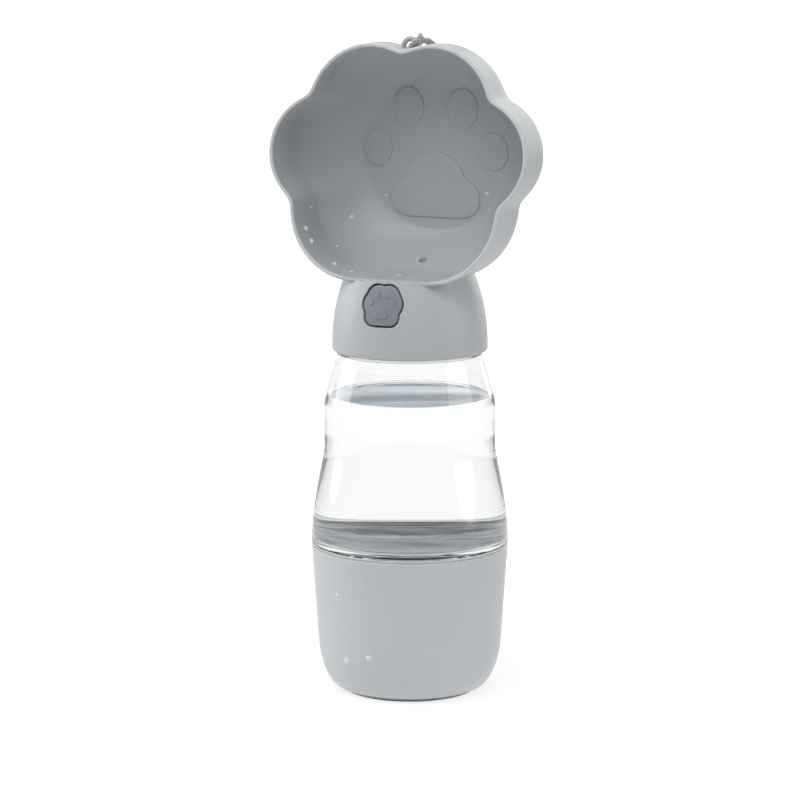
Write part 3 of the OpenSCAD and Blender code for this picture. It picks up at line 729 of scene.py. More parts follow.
@dataclass(frozen=True)
class CollarForm:
    """The collar's curved outside and its wall."""

    bottom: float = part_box("paw_bowl")[0].z
    height: float = 27.2 * MM
    radius: float = 27.75 * MM
    arc_radius: float = 65 * MM
    widest_above: float = 2.9 * MM
    wall: float = 2.2 * MM
    roof: float = 1.7 * MM

    @property
    def top(self) -> float:
        """Height of the collar's top."""
        return self.bottom + self.height

    def side(self, z: float) -> float:
        """Outer radius at height z."""
        rise = max(z - self.bottom - self.widest_above, 0.0)
        return self.radius - self.arc_radius + math.sqrt(self.arc_radius ** 2 - rise ** 2)


COLLAR = CollarForm()


# ------------------------------------------------------------------ studio


@dataclass(frozen=True)
class Lamp:
    """A soft area lamp that looks at the object's middle."""

    name: str
    place: Triple
    size: float
    power: float
    mirrored: bool = True


@dataclass(frozen=True)
class Studio:
    """The camera, a white floor, a white surround and soft lamps.

    Attributes:
        swing: How far the camera turns from the object's axis, in degrees.
        floor_glow: Share of the floor's own glow near the object, seen by the camera.
        floor_bright: Strength of that glow.
        card_streaks: Level and contrast of the card's streaks.
        card_dark: Tint of the streaks' dark side, times the card's grey.
        card_pale: Tint of the streaks' pale side, times the card's grey.
        aim: Height of the point that the lamps look at.
    """

    distance: float = 1.2
    azimuth: float = 23.0
    height: float = 0.317
    pitch: float = 10.03
    swing: float = 0.169
    lens: float = 153.6
    ambient: float = 0.02
    floor_size: float = 30.0
    floor_white: float = 0.5
    floor_glow: float = 0.45
    floor_bright: float = 1.78
    card_grey: float = 0.5
    card_low: float = 0.34
    card_high: float = 1.6
    card_inner: float = 2.0
    card_outer: float = 2.02
    card_streaks: tuple[float, float] = (0.36, 3.4)
    card_dark: Colour = (0.5, 0.6, 0.68)
    card_pale: Colour = (1.5, 1.56, 1.6)
    aim: float = 0.12
    lamps: tuple[Lamp, ...] = (
        Lamp("left", (-1.25, -0.07, 0.47), 0.9, 6.0),
        Lamp("right", (1.24, 0.2, 0.47), 0.9, 3.7),
        Lamp("back", (0.2, 1.25, 0.5), 0.9, 3.2),
        Lamp("top", (0.0, 0.35, 1.5), 0.9, 5.4),
        Lamp("key", (-0.5, -0.67, 1.13), 0.9, 5.8),
        Lamp("front", (0.33, -0.77, 1.13), 0.9, 6.2),
        Lamp("table", (0.0, 0.0, 0.002), 1.2, 1.8, mirrored=False),
    )

    def build(self) -> None:
        """Makes the camera, the world, the floor and the lamps."""
        self.camera()
        self.world()
        self.floor()
        self.card()
        for lamp in self.lamps:
            self.lamp(lamp)

    def camera(self) -> None:
        """Puts the camera where the view asks for it."""
        heading = math.radians(self.azimuth)
        data = bpy.data.cameras.new("camera")
        data.sensor_width = 36
        data.lens = self.lens
        data.clip_start = 0.05
        camera = bpy.data.objects.new("camera", data)
        bpy.context.scene.collection.objects.link(camera)
        camera.location = (self.distance * math.sin(heading),
                           -self.distance * math.cos(heading), self.height)
        camera.rotation_euler = (math.radians(90 - self.pitch), 0,
                                 heading + math.radians(self.swing))
        bpy.context.scene.camera = camera

    def world(self) -> None:
        """A white surround that lights the object softly."""
        world = bpy.data.worlds.new("surround")
        bpy.context.scene.world = world
        bench = ShaderBench(world)
        light = bench.node("ShaderNodeBackground", inputs={
            "Color": (0.96, 0.98, 1.0, 1.0), "Strength": self.ambient})
        white = bench.node("ShaderNodeBackground", inputs={
            "Color": (1.0, 1.0, 1.0, 1.0), "Strength": 1.0})
        seen = bench.rays("Camera", "Glossy", "Transmission")
        bench.finish(bench.node("ShaderNodeMixShader", inputs={0: seen, 1: light, 2: white}))

    def floor(self) -> None:
        """A white floor that keeps a faint shadow."""
        Workbench.deselect()
        bpy.ops.mesh.primitive_plane_add(size=self.floor_size)
        floor = Workbench.named("floor")
        bench = new_bench("floor_white")
        matt = bench.node("ShaderNodeBsdfDiffuse", inputs={
            "Color": (self.floor_white, self.floor_white, self.floor_white, 1.0)})
        white = bench.node("ShaderNodeEmission", inputs={
            "Color": (1.0, 1.0, 1.0, 1.0), "Strength": 1.0})
        reach = bench.node("ShaderNodeVectorMath", {"operation": "LENGTH"},
                           {0: bench.place()}, output="Value")
        far = bench.node("ShaderNodeMapRange", {"interpolation_type": "SMOOTHSTEP"}, {
            "Value": reach, "From Min": 0.1, "From Max": 0.45, "To Min": 0.0, "To Max": 1.0})
        bright = bench.node("ShaderNodeEmission", inputs={
            "Color": (1.0, 1.0, 1.0, 1.0), "Strength": self.floor_bright})
        seen = bench.node("ShaderNodeMixShader", inputs={
            0: bench.rays("Camera") * (self.floor_glow + (1.0 - self.floor_glow) * far),
            1: matt, 2: bright})
        amount = bench.rays("Glossy") + bench.rays("Transmission") * far
        bench.finish(bench.node("ShaderNodeMixShader", inputs={0: amount, 1: seen, 2: white}))
        floor.data.materials.append(bench.owner)

    def card(self) -> None:
        """A grey surround above the table, which only the clear plastic and the water show."""
        low, high, near, far = self.card_low, self.card_high, self.card_inner, self.card_outer
        card = Workbench.lathe("card", [(near, low), (far, low), (far, high), (near, high),
                                        (near, low)], 48)
        card.visible_camera = card.visible_diffuse = card.visible_shadow = False
        card.visible_glossy = False
        bench = new_bench("card_grey")
        streaks = bench.noise(60 * MM, 3.0, (0.1, 0.1, 1))
        level, contrast = self.card_streaks
        dark, pale = (tuple(self.card_grey * c for c in tint)
                      for tint in (self.card_dark, self.card_pale))
        bench.finish(bench.node("ShaderNodeEmission", inputs={
            "Strength": 1.0, "Color": bench.mix((streaks - level) * contrast, dark, pale)}))
        card.data.materials.append(bench.owner)

    def lamp(self, lamp: Lamp) -> None:
        """Adds one soft lamp."""
        data = bpy.data.lights.new(lamp.name, "AREA")
        data.shape = "DISK"
        data.size = lamp.size
        data.energy = lamp.power
        made = bpy.data.objects.new(lamp.name, data)
        made.visible_camera = made.visible_transmission = False
        made.visible_glossy = lamp.mirrored
        bpy.context.scene.collection.objects.link(made)
        made.location = lamp.place
        aim = Vector((0, 0, self.aim)) - made.location
        made.rotation_euler = aim.to_track_quat("-Z", "Y").to_euler()


# ------------------------------------------------------------------ lanyard


@dataclass(frozen=True)
class Lanyard:
    """The braided cord through the lug, and the ferrule on its two ends.

    Attributes:
        lay: Length of one turn of a strand.
        per_lay: Points in one turn of a strand.
        sides: Faces round a strand.
        yarn: Radius of a strand.
        inset: How far the strands stand inside the cord's diameter.
        weave: How far a strand rises and sinks where it crosses another.
    """

    diameter: float = 2.0 * MM
    strands: int = 8
    lay: float = 5.6 * MM
    per_lay: int = 10
    sides: int = 6
    yarn: float = 0.27 * MM
    inset: float = 0.06 * MM
    weave: float = 0.07 * MM

    def route(self) -> list[Vector]:
        """The cord's route: up the bowl's back, over the lug, through it and back down."""
        low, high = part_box("lanyard_ferrule")
        y = (low.y + high.y) / 2 / MM
        z = high.z / MM
        lug = BOWL.lug_height / MM
        front = BOWL.lug_y / MM
        back = (BOWL.floor_y + BOWL.wall) / MM + 1.8
        rise = [(1.4, y, z), (1.4, y - 0.4, z + 6), (1.3, y - 2, lug - 77),
                (1.2, back + 1, lug - 67), (1.1, back, lug - 55), (1, back, lug - 41),
                (1, back, lug - 28), (1, back, lug - 16), (1, back - 0.2, lug - 9.5),
                (1, back - 2.2, lug - 5.4), (0.9, back - 5.6, lug - 2)]
        over = [(0.8, 15, 0.2), (0.7, 10.5, 1.8), (0.7, 7, 3.1), (1.2, 5, 3.9), (2.3, 2.8, 4.2),
                (3.3, 0.4, 4.1), (3.2, -1.7, 3), (2.1, -2.4, 1.9), (0.9, -2, 1),
                (0.1, -0.7, 0.68), (0, 1, 0.66), (0.4, 2.8, 0.9), (1.5, 4.4, 1.5),
                (2.6, 5.7, 2.1), (3.3, 7.4, 2.2), (3.4, 10, 1.3), (3.6, 15, -0.6)]
        fall = [(3.8, back - 5.6, lug - 2.4), (3.8, back - 2.2, lug - 5.6),
                (3.8, back - 0.2, lug - 9.5), (3.8, back, lug - 16), (3.8, back, lug - 28),
                (3.8, back, lug - 41), (3.8, back, lug - 55), (3.8, back + 1, lug - 67),
                (3.7, y - 2, lug - 77), (3.6, y - 0.4, z + 6), (3.6, y, z)]
        points = rise + [(px, front + py, lug + pz) for px, py, pz in over] + fall
        return [Vector(point) * MM for point in points]

    def build(self) -> None:
        path = spline(self.route(), 24)
        length = sum((b - a).length for a, b in zip(path, path[1:]))
        cord = self.braid(self.even(path, length))
        WARDROBE.dress(cord, YARN_GREY, YARN_PALE)
        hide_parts("lanyard_cord")
        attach(cord, "head")
        ferrule = WARDROBE.dress_node("lanyard_ferrule", FERRULE)
        tuple(path[0])
        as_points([tuple(p) for p in path[::4]] + [tuple(path[-1])])
        log.info("lanyard: %.0f mm of cord", length / MM)

    def even(self, path: list[Vector], length: float) -> list[Vector]:
        """The same path with points evenly apart, per_lay to each turn of a strand."""
        count = round(length / self.lay * self.per_lay)
        gap = length / count
        points, walked, index = [path[0]], 0.0, 0
        for k in range(1, count):
            while walked + (path[index + 1] - path[index]).length < k * gap:
                walked += (path[index + 1] - path[index]).length
                index += 1
            step = path[index + 1] - path[index]
            points.append(path[index] + step * ((k * gap - walked) / step.length))
        return points + [path[-1]]

    def frames(self, points: list[Vector]) -> list[tuple[Vector, Vector]]:
        """Two directions across the path at each point, which turn as little as they can."""
        across = Vector((1, 0, 0))
        made = []
        last = len(points) - 1
        for i in range(last + 1):
            ahead = (points[min(i + 1, last)] - points[max(i - 1, 0)]).normalized()
            across = (across - ahead * across.dot(ahead)).normalized()
            made.append((across.copy(), ahead.cross(across)))
        return made

    def braid(self, points: list[Vector]) -> bpy.types.Object:
        """Half the strands wind one way and half the other, over and under each other."""
        frames = self.frames(points)
        half = self.strands // 2
        middle = self.diameter / 2 - self.yarn - self.inset
        pieces = []
        for s in range(self.strands):
            turn = 1 if s < half else -1
            start = 2 * math.pi * (s % half) / half + (math.pi / half if turn < 0 else 0.0)
            centres = []
            for i, (point, (u, v)) in enumerate(zip(points, frames)):
                angle = start + turn * 2 * math.pi * i / self.per_lay
                lift = self.weave * turn * math.cos(half * 2 * math.pi * i / self.per_lay)
                out = u * math.cos(angle) + v * math.sin(angle)
                centres.append(point + out * (middle + lift))
            pieces.append(self.strand(f"strand_{s}", centres, s % 2))
        return Workbench.merge("lanyard_braid", pieces)

    def strand(self, name: str, centres: list[Vector], slot: int) -> bpy.types.Object:
        """One yarn along its own centre line."""
        rings = []
        for centre, (u, v) in zip(centres, self.frames(centres)):
            ring = []
            for j in range(self.sides):
                a = 2 * math.pi * j / self.sides
                ring.append(centre + (u * math.cos(a) + v * math.sin(a)) * self.yarn)
            rings.append(ring)
        piece = Workbench.loft(name, rings)
        Workbench.smooth(piece, 60)
        for polygon in piece.data.polygons:
            polygon.material_index = slot
        self.unwrap(piece)
        return piece

    def unwrap(self, piece: bpy.types.Object) -> None:
        """Gives a strand a UV map: U along it in turns, V round it."""
        layer = piece.data.uv_layers.new(name="along")
        for polygon in piece.data.polygons:
            for loop in polygon.loop_indices:
                index = piece.data.loops[loop].vertex_index
                layer.data[loop].uv = (index // self.sides / self.per_lay * 4,
                                       index % self.sides / self.sides)


# ------------------------------------------------------------------ food cup and bottle


BASE_PITCH = 4 * MM
NECK_PITCH = 3 * MM
THREAD_TURNS = 1.25


@dataclass(frozen=True)
class FoodCup:
    """The grey cup that the bottle is screwed into.

    Attributes:
        foot_in: How far the foot's rounding draws the side in.
        hollow: How far the underside's middle stands above the foot ring.
        bore: Radius of the bore that the bottle's base goes into.
        ledge: Height of the bore's lower end.
        thread_start: Height at which the thread starts.
    """

    height: float = 52.6 * MM
    rim_radius: float = 35.2 * MM
    taper: float = 0.068
    foot_height: float = 18 * MM
    foot_in: float = 7.0 * MM
    ring_height: float = 1.0 * MM
    ring_width: float = 2.8 * MM
    wall: float = 2.2 * MM
    hollow: float = 0.8 * MM
    bore: float = 32.8 * MM
    ledge: float = 42.5 * MM
    thread_start: float = 46.4 * MM
    edge: float = 0.5 * MM

    def side(self, z: float) -> float:
        """Outer radius at height z."""
        h = max(self.foot_height - z, 0.0) / (self.foot_height - self.ring_height)
        lean = self.taper * (self.height - z)
        return self.rim_radius - lean - self.foot_in * (1 - math.sqrt(max(1 - h * h, 0.0)))

    def profile(self) -> Profile:
        """The cup's section, from the middle of its underside round to its inner floor."""
        foot = self.side(self.ring_height) - 0.7 * MM
        inner_floor = self.ring_height + self.wall
        heights = [self.ring_height + (self.foot_height - self.ring_height)
                   * (1 - math.cos(math.radians(a))) for a in range(0, 91, 5)]
        outside = [(self.side(z), z) for z in heights]
        outside += [(self.side(z), z) for z in between(self.foot_height + 2 * MM,
                                                       self.height - self.edge, 14)]
        rim = arc((self.rim_radius - self.edge, self.height - self.edge), self.edge, 15, 90, 4)
        inside = [(self.side(z) - self.wall, z + self.wall) for z in reversed(heights[1:])]
        inner_foot = foot - self.ring_width
        return ([(0, self.hollow), (inner_foot - 0.6 * MM, self.hollow),
                 (inner_foot, 0.1 * MM), (inner_foot + 0.3 * MM, 0), (foot - 0.3 * MM, 0),
                 (foot, 0.2 * MM), (foot, self.ring_height + 0.05 * MM)] + outside + rim
                + [(self.bore + 0.3 * MM, self.height), (self.bore, self.height - 0.3 * MM),
                   (self.bore, self.ledge),
                   (self.side(self.ledge) - self.wall, self.ledge - 1 * MM)]
                + inside + [(0, inner_floor)])

    def build(self) -> None:
        """Makes the cup with its thread."""
        cup = Workbench.lathe("food_cup_shell", self.profile())
        thread = Thread(self.bore, -1, BASE_PITCH, THREAD_TURNS, self.thread_start)
        cup = Workbench.merge("food_cup_shell", [cup, thread.build("cup_thread")])
        Workbench.smooth(cup)
        # The cup's paler colour is painted light, for the table's bounce.
        WARDROBE.dress(cup, CUP_WITH_PAINTED_LIGHT)
        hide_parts("food_cup")
        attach(cup, "food_cup")
        log.info("food cup: %d faces", len(cup.data.polygons))


@dataclass(frozen=True)
class Thread:
    """A helical ridge on a wall.

    Attributes:
        outward: 1 on a neck and -1 in a bore.
        sink: How far the ridge's root goes into the wall.
        chamfer: Height of the slope on each side of the crest.
        run_out: Steps in which the ridge grows at its start and dies away at its end.
        least: Share of the ridge's height at its very ends.
    """

    radius: float
    outward: int
    pitch: float
    turns: float
    start: float
    height: float = 1.05 * MM
    sink: float = 0.3 * MM
    chamfer: float = 0.12 * MM
    run_out: int = 8
    least: float = 0.15
    per_turn: int = 72

    def build(self, name: str) -> bpy.types.Object:
        """Makes the ridge as one closed piece."""
        steps = round(self.per_turn * self.turns)
        root = 0.8 * self.pitch / 4 + 0.1 * MM
        crest = 0.5 * self.pitch / 4
        rings = []
        for k in range(steps + 1):
            a = 2 * math.pi * self.turns * k / steps
            fade = min(1.0, k / self.run_out + self.least,
                       (steps - k) / self.run_out + self.least)
            z = self.start + self.pitch * self.turns * k / steps
            inner = self.radius - self.outward * self.sink
            tip = self.radius + self.outward * self.height * fade
            near = self.radius + self.outward * self.height * fade * 0.8
            section = [(inner, -root), (near, -crest * fade - self.chamfer),
                       (tip, -crest * fade * 0.7), (tip, crest * fade * 0.7),
                       (near, crest * fade + self.chamfer), (inner, root)]
            rings.append([Vector((r * math.cos(a), r * math.sin(a), z + dz)) for r, dz in section])
        return Workbench.loft(name, rings)


@dataclass(frozen=True)
class Bottle:
    """The clear bottle and the water in it.

    Attributes:
        floor_rise: How far the inner floor stands above the shoulder.
        cone_blend: Share of the cone's height in which it bends away from the waist.
        water_level: Height of the water's surface.
        creep: How far the water is drawn up at the wall.
        overlap: How far the water reaches into the wall, so that no gap shows.
        base_thread: Height at which the thread of the base starts.
        neck_thread: How far above the bead the neck's thread starts.
        throat_depth: How far below the bead the faces of the throat start.
    """

    shoulder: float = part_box("cup_seal_ring")[1].z
    neck_top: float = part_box("bottle")[1].z
    base_radius: float = 35.3 * MM
    waist_radius: float = 30.65 * MM
    bulge_height: float = 34.8 * MM
    waist_height: float = 15.5 * MM
    cone_height: float = 17.7 * MM
    cone_top_radius: float = 26.1 * MM
    wall: float = 1.8 * MM
    floor: float = 2.2 * MM
    fillet: float = 1.4 * MM
    floor_rise: float = 2.0 * MM
    base_edge: float = 0.45 * MM
    bead: float = 1.0 * MM
    bead_edge: float = 0.3 * MM
    lip_edge: float = 0.4 * MM
    neck_radius: float = 21.3 * MM
    neck_wall: float = 2.0 * MM
    skirt_radius: float = 31.3 * MM
    skirt_wall: float = 2.2 * MM
    skirt_height: float = 9.8 * MM
    cone_blend: float = 0.06
    water_level: float = 106.5 * MM
    creep: float = 0.9 * MM
    overlap: float = 0.12 * MM
    base_thread: float = 44.4 * MM
    neck_thread: float = 2.4 * MM
    throat_depth: float = 2.6 * MM

    @property
    def water_top(self) -> float:
        """Height that the water creeps up to at the wall."""
        return self.water_level + self.creep

    @property
    def waist_low(self) -> float:
        """Height where the waist starts."""
        return self.shoulder + self.bulge_height

    @property
    def waist_high(self) -> float:
        """Height where the waist ends."""
        return self.waist_low + self.waist_height

    @property
    def bead_low(self) -> float:
        """Height of the bead's underside."""
        return self.waist_high + self.cone_height

    def side(self, z: float) -> float:
        """Outer radius at height z."""
        if z < self.waist_low:
            u = (self.waist_low - z) / self.bulge_height
            bulge = math.sin(math.pi / 2 * u ** 1.1)
            return self.waist_radius + (self.base_radius - self.waist_radius) * bulge
        if z < self.waist_high:
            return self.waist_radius
        v = (z - self.waist_high) / self.cone_height
        blend = self.cone_blend
        drop = (v * v / (4 * blend) if v < 2 * blend else v - blend) / (1 - blend)
        return self.waist_radius - (self.waist_radius - self.cone_top_radius) * drop

    def inner_wall(self, top: float, grow: float) -> Profile:
        """The hollow's section from a height down to the middle of its floor.

        Args:
            top: The height to start from.
            grow: How far the section is moved out into the wall.

        Returns:
            The section's points.
        """
        floor = self.shoulder + self.floor_rise
        turn = floor + self.fillet
        reach = self.side(turn) - self.wall - self.fillet
        heights = between(turn, self.water_top, 40)
        if top > self.water_top:
            heights += between(self.water_top, top, 12)[1:]
        wall = [(self.side(z) - self.wall + grow, z) for z in reversed(heights)]
        fillet = arc((reach, turn), self.fillet + grow, 0, -90, 12)
        return wall + fillet[1:] + [(0, floor - grow)]

    def profile(self) -> Profile:
        """The bottle's section, from the middle of its underside round to its inner floor."""
        underside = self.shoulder + self.floor_rise - self.floor
        skirt_low = self.shoulder - self.skirt_height
        skirt_in = self.skirt_radius - self.skirt_wall
        neck_low = self.bead_low + self.bead
        neck_in = self.neck_radius - self.neck_wall
        throat = self.bead_low - self.wall
        base = arc((self.base_radius - self.base_edge, self.shoulder + self.base_edge),
                   self.base_edge, -90, 0, 4)
        outside = [(self.side(z), z) for z in between(self.shoulder + 0.6 * MM, self.bead_low, 60)]
        bead = arc((self.cone_top_radius - self.bead_edge, neck_low - self.bead_edge),
                   self.bead_edge, 0, 90, 3)
        lip = arc((self.neck_radius - self.lip_edge, self.neck_top - self.lip_edge),
                  self.lip_edge, 0, 90, 4)
        return ([(0, underside), (skirt_in - 1 * MM, underside), (skirt_in, underside - 1 * MM),
                 (skirt_in, skirt_low), (self.skirt_radius - 0.4 * MM, skirt_low),
                 (self.skirt_radius, skirt_low + 0.4 * MM), (self.skirt_radius, self.shoulder)]
                + base + outside + bead
                + [(self.neck_radius, neck_low)] + lip
                + [(neck_in, self.neck_top), (neck_in, throat + 0.6 * MM),
                   (neck_in + 0.8 * MM, throat - 0.3 * MM)]
                + self.inner_wall(throat - 0.3 * MM, 0.0))

    def water_profile(self) -> Profile:
        """The water's section, with its surface drawn up a little at the wall."""
        rim = self.side(self.water_level) - self.wall
        creep = [(rim - d * MM, self.water_level + self.creep * math.exp(-d / 0.8))
                 for d in (0.0, 0.2, 0.5, 0.9, 1.4, 2.0, 3.0)]
        wall = self.inner_wall(self.water_top, self.overlap)
        return [(0, self.water_level)] + list(reversed(creep)) + wall

    def build(self) -> None:
        """Makes the bottle and its water."""
        bottle = Workbench.lathe("clear_bottle", self.profile(), 256)
        threads = [Thread(self.skirt_radius, 1, BASE_PITCH, THREAD_TURNS, self.base_thread)
                   .build("base_thread"),
                   Thread(self.neck_radius, 1, NECK_PITCH, THREAD_TURNS,
                          self.bead_low + self.neck_thread).build("neck_thread")]
        for thread in threads:
            Workbench.boolean(bottle, thread, Cut.JOIN)
        Workbench.smooth(bottle)
        WARDROBE.dress(bottle, CLEAR)
        low, high = self.shoulder + self.floor_rise - 0.1 * MM, self.water_top
        WARDROBE.dress_part(bottle, WET, lambda p, n: low < p.z < high and (
            n.z > 0.5 or n.x * p.x + n.y * p.y < -0.3 * math.hypot(p.x, p.y)))
        WARDROBE.dress_part(bottle, TOUCHING, lambda p, n: p.z > self.bead_low - self.throat_depth
                            and math.hypot(p.x, p.y) < self.cone_top_radius - 0.6 * MM
                            and (n.z < -0.2 or n.x * p.x + n.y * p.y < 0))
        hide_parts("bottle")
        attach(bottle, "bottle")
        # The water's faces still come out pointing inwards, and its look is set with them so.
        water = Workbench.lathe("water", self.water_profile(), 256)
        Workbench.smooth(water)
        WARDROBE.dress(water, WATER)
        WARDROBE.dress_part(water, TOUCHING, lambda p, n: n.z < 0.3 and (
            p.z < self.water_level or math.hypot(p.x, p.y) > self.side(p.z) - self.wall))
        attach(water, "bottle")
        log.info("bottle: %d faces, water: %d faces", len(bottle.data.polygons),
                 len(water.data.polygons))


# ------------------------------------------------------------------ head


@dataclass(frozen=True)
class PawBowl:
    """The drinking bowl, the collar under it and the lanyard's lug: one moulding."""

    outline: PawOutline = PawOutline((11.4 * MM, 17.3 * MM, 22.2 * MM),
                                     (28.2 * MM, 2.7 * MM, 19.3 * MM),
                                     (13.4 * MM, 15.8 * MM, 24.8 * MM))
    wall: float = 1.5 * MM
    rim_y: float = 13.6 * MM
    rim_lean: float = 0.145
    draft: float = math.tan(math.radians(0.5))
    round_y: float = 3.2 * MM
    round_power: float = 1.4
    floor_y: float = 23.3 * MM
    floor_radius: float = 27.2 * MM
    sink: float = 1.3 * MM
    around: int = 288
    dome: float = 7 * MM
    lug_ring: float = 3.0 * MM
    lug_bar: float = 1.0 * MM
    lug_leg: float = 0.5 * MM
    lug_root: float = 0.8 * MM
    lug_y: float = 1 * MM
    outlet_y: float = 12 * MM
    outlet_radius: float = 1.5 * MM
    print_height: float = 0.4 * MM
    print_edge: float = 0.3 * MM
    print_pad: PawOutline = PawOutline((0.0, 0.7 * MM, 11.2 * MM), (0.0, 0.7 * MM, 11.2 * MM),
                                       (10.4 * MM, 4.3 * MM, 7.0 * MM))
    print_drop: float = 12 * MM
    print_toes: tuple[tuple[float, float, float, float], ...] = (
        (10.4 * MM, 16.1 * MM, 5.9 * MM, 7.4 * MM), (22.5 * MM, 1.2 * MM, 5.7 * MM, 6.8 * MM))
    insert_snap: float = 0.4 * MM
    insert_gap: float = 0.15 * MM
    snap_height: float = 4 * MM

    @property
    def centre(self) -> float:
        """Height of the bowl's centre."""
        return COLLAR.top - self.sink + self.wall + self.outline.pad[1] + self.outline.pad[2]

    @property
    def shelf_y(self) -> float:
        """Where the collar's flat shelf ends behind the rim's lowest point."""
        return self.rim_depth(-self.outline.pad[1] - self.outline.pad[2]) + 0.6 * MM

    @property
    def lug_height(self) -> float:
        """Height of the middle of the lug's ring."""
        rim = self.outline.radius(math.pi / 2) + self.wall
        drop = self.draft * (self.lug_y - self.rim_depth(rim))
        return self.centre + rim - drop + self.lug_leg

    def rim_depth(self, up: float) -> float:
        """Where the rim's plane lies, at a height above the bowl's centre."""
        return -self.rim_y + self.rim_lean * up

    def ring(self, grow: float, depth: Callable[[float, float], tuple[float, float]]) -> Ring:
        """A ring round the bowl.

        Args:
            grow: How far the ring stands outside the inner outline.
            depth: Gives the radius and the depth along Y from the rim's radius and depth.

        Returns:
            The ring's points.
        """
        points = []
        for i in range(self.around):
            a = 2 * math.pi * i / self.around
            rim = self.outline.radius(a) + grow
            r, y = depth(rim, self.rim_depth(rim * math.sin(a)))
            points.append(Vector((r * math.cos(a), y, self.centre + r * math.sin(a))))
        return points

    def wall_ring(self, grow: float, back: float) -> Ring:
        """A ring on the wall, from the rim at 0 to where the rounding starts at 1."""
        def depth(rim: float, front: float) -> tuple[float, float]:
            """Radius and depth on the drafted wall."""
            y = front + (self.round_y - front) * back
            return rim - self.draft * (y - front), y
        return self.ring(grow, depth)

    def back_ring(self, grow: float, turn: float) -> Ring:
        """A ring on the rounding, from the wall at 0 to the flat back at 1."""
        flat = self.floor_radius + grow
        back = self.floor_y + grow
        outwards = math.cos(math.pi / 2 * turn) ** self.round_power if turn < 1 else 0.0
        inwards = math.sin(math.pi / 2 * turn) ** self.round_power

        def depth(rim: float, front: float) -> tuple[float, float]:
            """Radius and depth on the rounding."""
            edge = rim - self.draft * (self.round_y - front)
            return flat + (edge - flat) * outwards, self.round_y + (back - self.round_y) * inwards
        return self.ring(grow, depth)

    def side_rings(self, grow: float) -> list[Ring]:
        """The rings of one side of the wall, from behind the rim to the back."""
        walls = [self.wall_ring(grow, t) for t in (0.1, 0.25, 0.4, 0.55, 0.7, 0.85, 1.0)]
        turns = (0.04, 0.09, 0.15, 0.22, 0.3, 0.38, 0.46, 0.54, 0.62, 0.7, 0.78, 0.85, 0.91, 0.96,
                 1)
        return walls + [self.back_ring(grow, turn) for turn in turns]

    def rim_rings(self) -> list[Ring]:
        """The rings over the round rim, from the inside to the outside."""
        half = self.wall / 2
        rings = []
        for i in range(13):
            a = math.pi * i / 12
            grow, back = half - half * math.cos(a), half * (1 - math.sin(a))
            rings.append(self.ring(grow, lambda rim, front, b=back: (rim, front + b)))
        return rings

    def shell(self) -> bpy.types.Object:
        """The bowl's wall, from its inner floor over the rim to its back."""
        rings = list(reversed(self.side_rings(0))) + self.rim_rings() + self.side_rings(self.wall)
        return Workbench.loft("paw_bowl_shell", rings)

    def inside(self, degrees: float, along: float) -> Vector:
        """A place on the inner wall: 0 at the rim, 1 where the rounding starts, 2 at its end."""
        ring = self.wall_ring(0, along) if along < 1 else self.back_ring(0, along - 1)
        return ring[round(degrees * self.around / 360) % self.around]

    def core(self) -> bpy.types.Object:
        """The bowl's cavity with half its wall, which the collar keeps clear of."""
        front = self.ring(self.wall / 2, lambda rim, front: (rim, front - 2 * MM))
        return Workbench.loft("core", [front] + self.side_rings(self.wall / 2))

    def collar(self) -> bpy.types.Object:
        """The collar's outside: round up to the bowl, with a shelf in front of it."""
        corner = 1.0 * MM
        dome = COLLAR.top + self.dome
        bottom = arc((COLLAR.radius - corner, COLLAR.bottom + corner), corner, -90, 0, 6)
        side = [(COLLAR.side(z), z) for z in between(COLLAR.bottom + 1.6 * MM, dome, 56)]
        collar = Workbench.lathe("collar", [(0, COLLAR.bottom)] + bottom + side + [(0, dome)], 288)
        reach = COLLAR.radius + 1 * MM
        shelf = Workbench.block("shelf", (-reach, -reach, COLLAR.top),
                                (reach, self.shelf_y, dome + 1 * MM))
        Workbench.boolean(collar, shelf, Cut.REMOVE)
        Workbench.round_edges(
            collar, lambda p: p.y < self.shelf_y + 0.1 * MM and p.z > COLLAR.top - 0.1 * MM
            and p.length > 10 * MM, 0.7 * MM, 4)
        return collar

    def hollow(self) -> bpy.types.Object:
        """The room inside the collar, with the groove that holds the screw insert."""
        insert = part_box("screw_insert")
        step = insert[1].z + 0.2 * MM
        bore = insert[1].x - self.insert_snap + self.insert_gap
        snap = COLLAR.bottom + self.snap_height
        roof = COLLAR.top - COLLAR.roof
        side = [(min(COLLAR.side(z) - COLLAR.wall, bore), z) for z in between(step, roof, 14)]
        return Workbench.lathe("hollow", [
            (0, COLLAR.bottom - 1 * MM), (bore + 0.5 * MM, COLLAR.bottom - 1 * MM),
            (bore + 0.5 * MM, COLLAR.bottom), (bore, COLLAR.bottom + 0.6 * MM),
            (bore, snap - 0.5 * MM), (bore + self.insert_snap, snap),
            (bore + self.insert_snap, snap + 0.6 * MM),
            (bore, snap + 1.1 * MM)] + side + [(0, roof)], 192)

    def lug(self) -> bpy.types.Object:
        """The arch between the two upper toes that the lanyard goes through."""
        turns = [math.radians(a) for a in range(0, 181, 6)]
        spine = [(self.lug_ring * math.cos(a), self.lug_ring * math.sin(a)) for a in turns]
        foot = -self.lug_leg - self.lug_root
        spine = [(self.lug_ring, foot)] + spine + [(-self.lug_ring, foot)]
        headings = [0.0] + turns + [math.pi]
        rings = []
        for (x, z), heading in zip(spine, headings):
            ring = []
            for j in range(24):
                b = 2 * math.pi * j / 24
                out = self.lug_bar * math.cos(b)
                ring.append(Vector((x + out * math.cos(heading), self.lug_y
                                    + self.lug_bar * math.sin(b),
                                    self.lug_height + z + out * math.sin(heading))))
            rings.append(ring)
        return Workbench.loft("lug", rings)

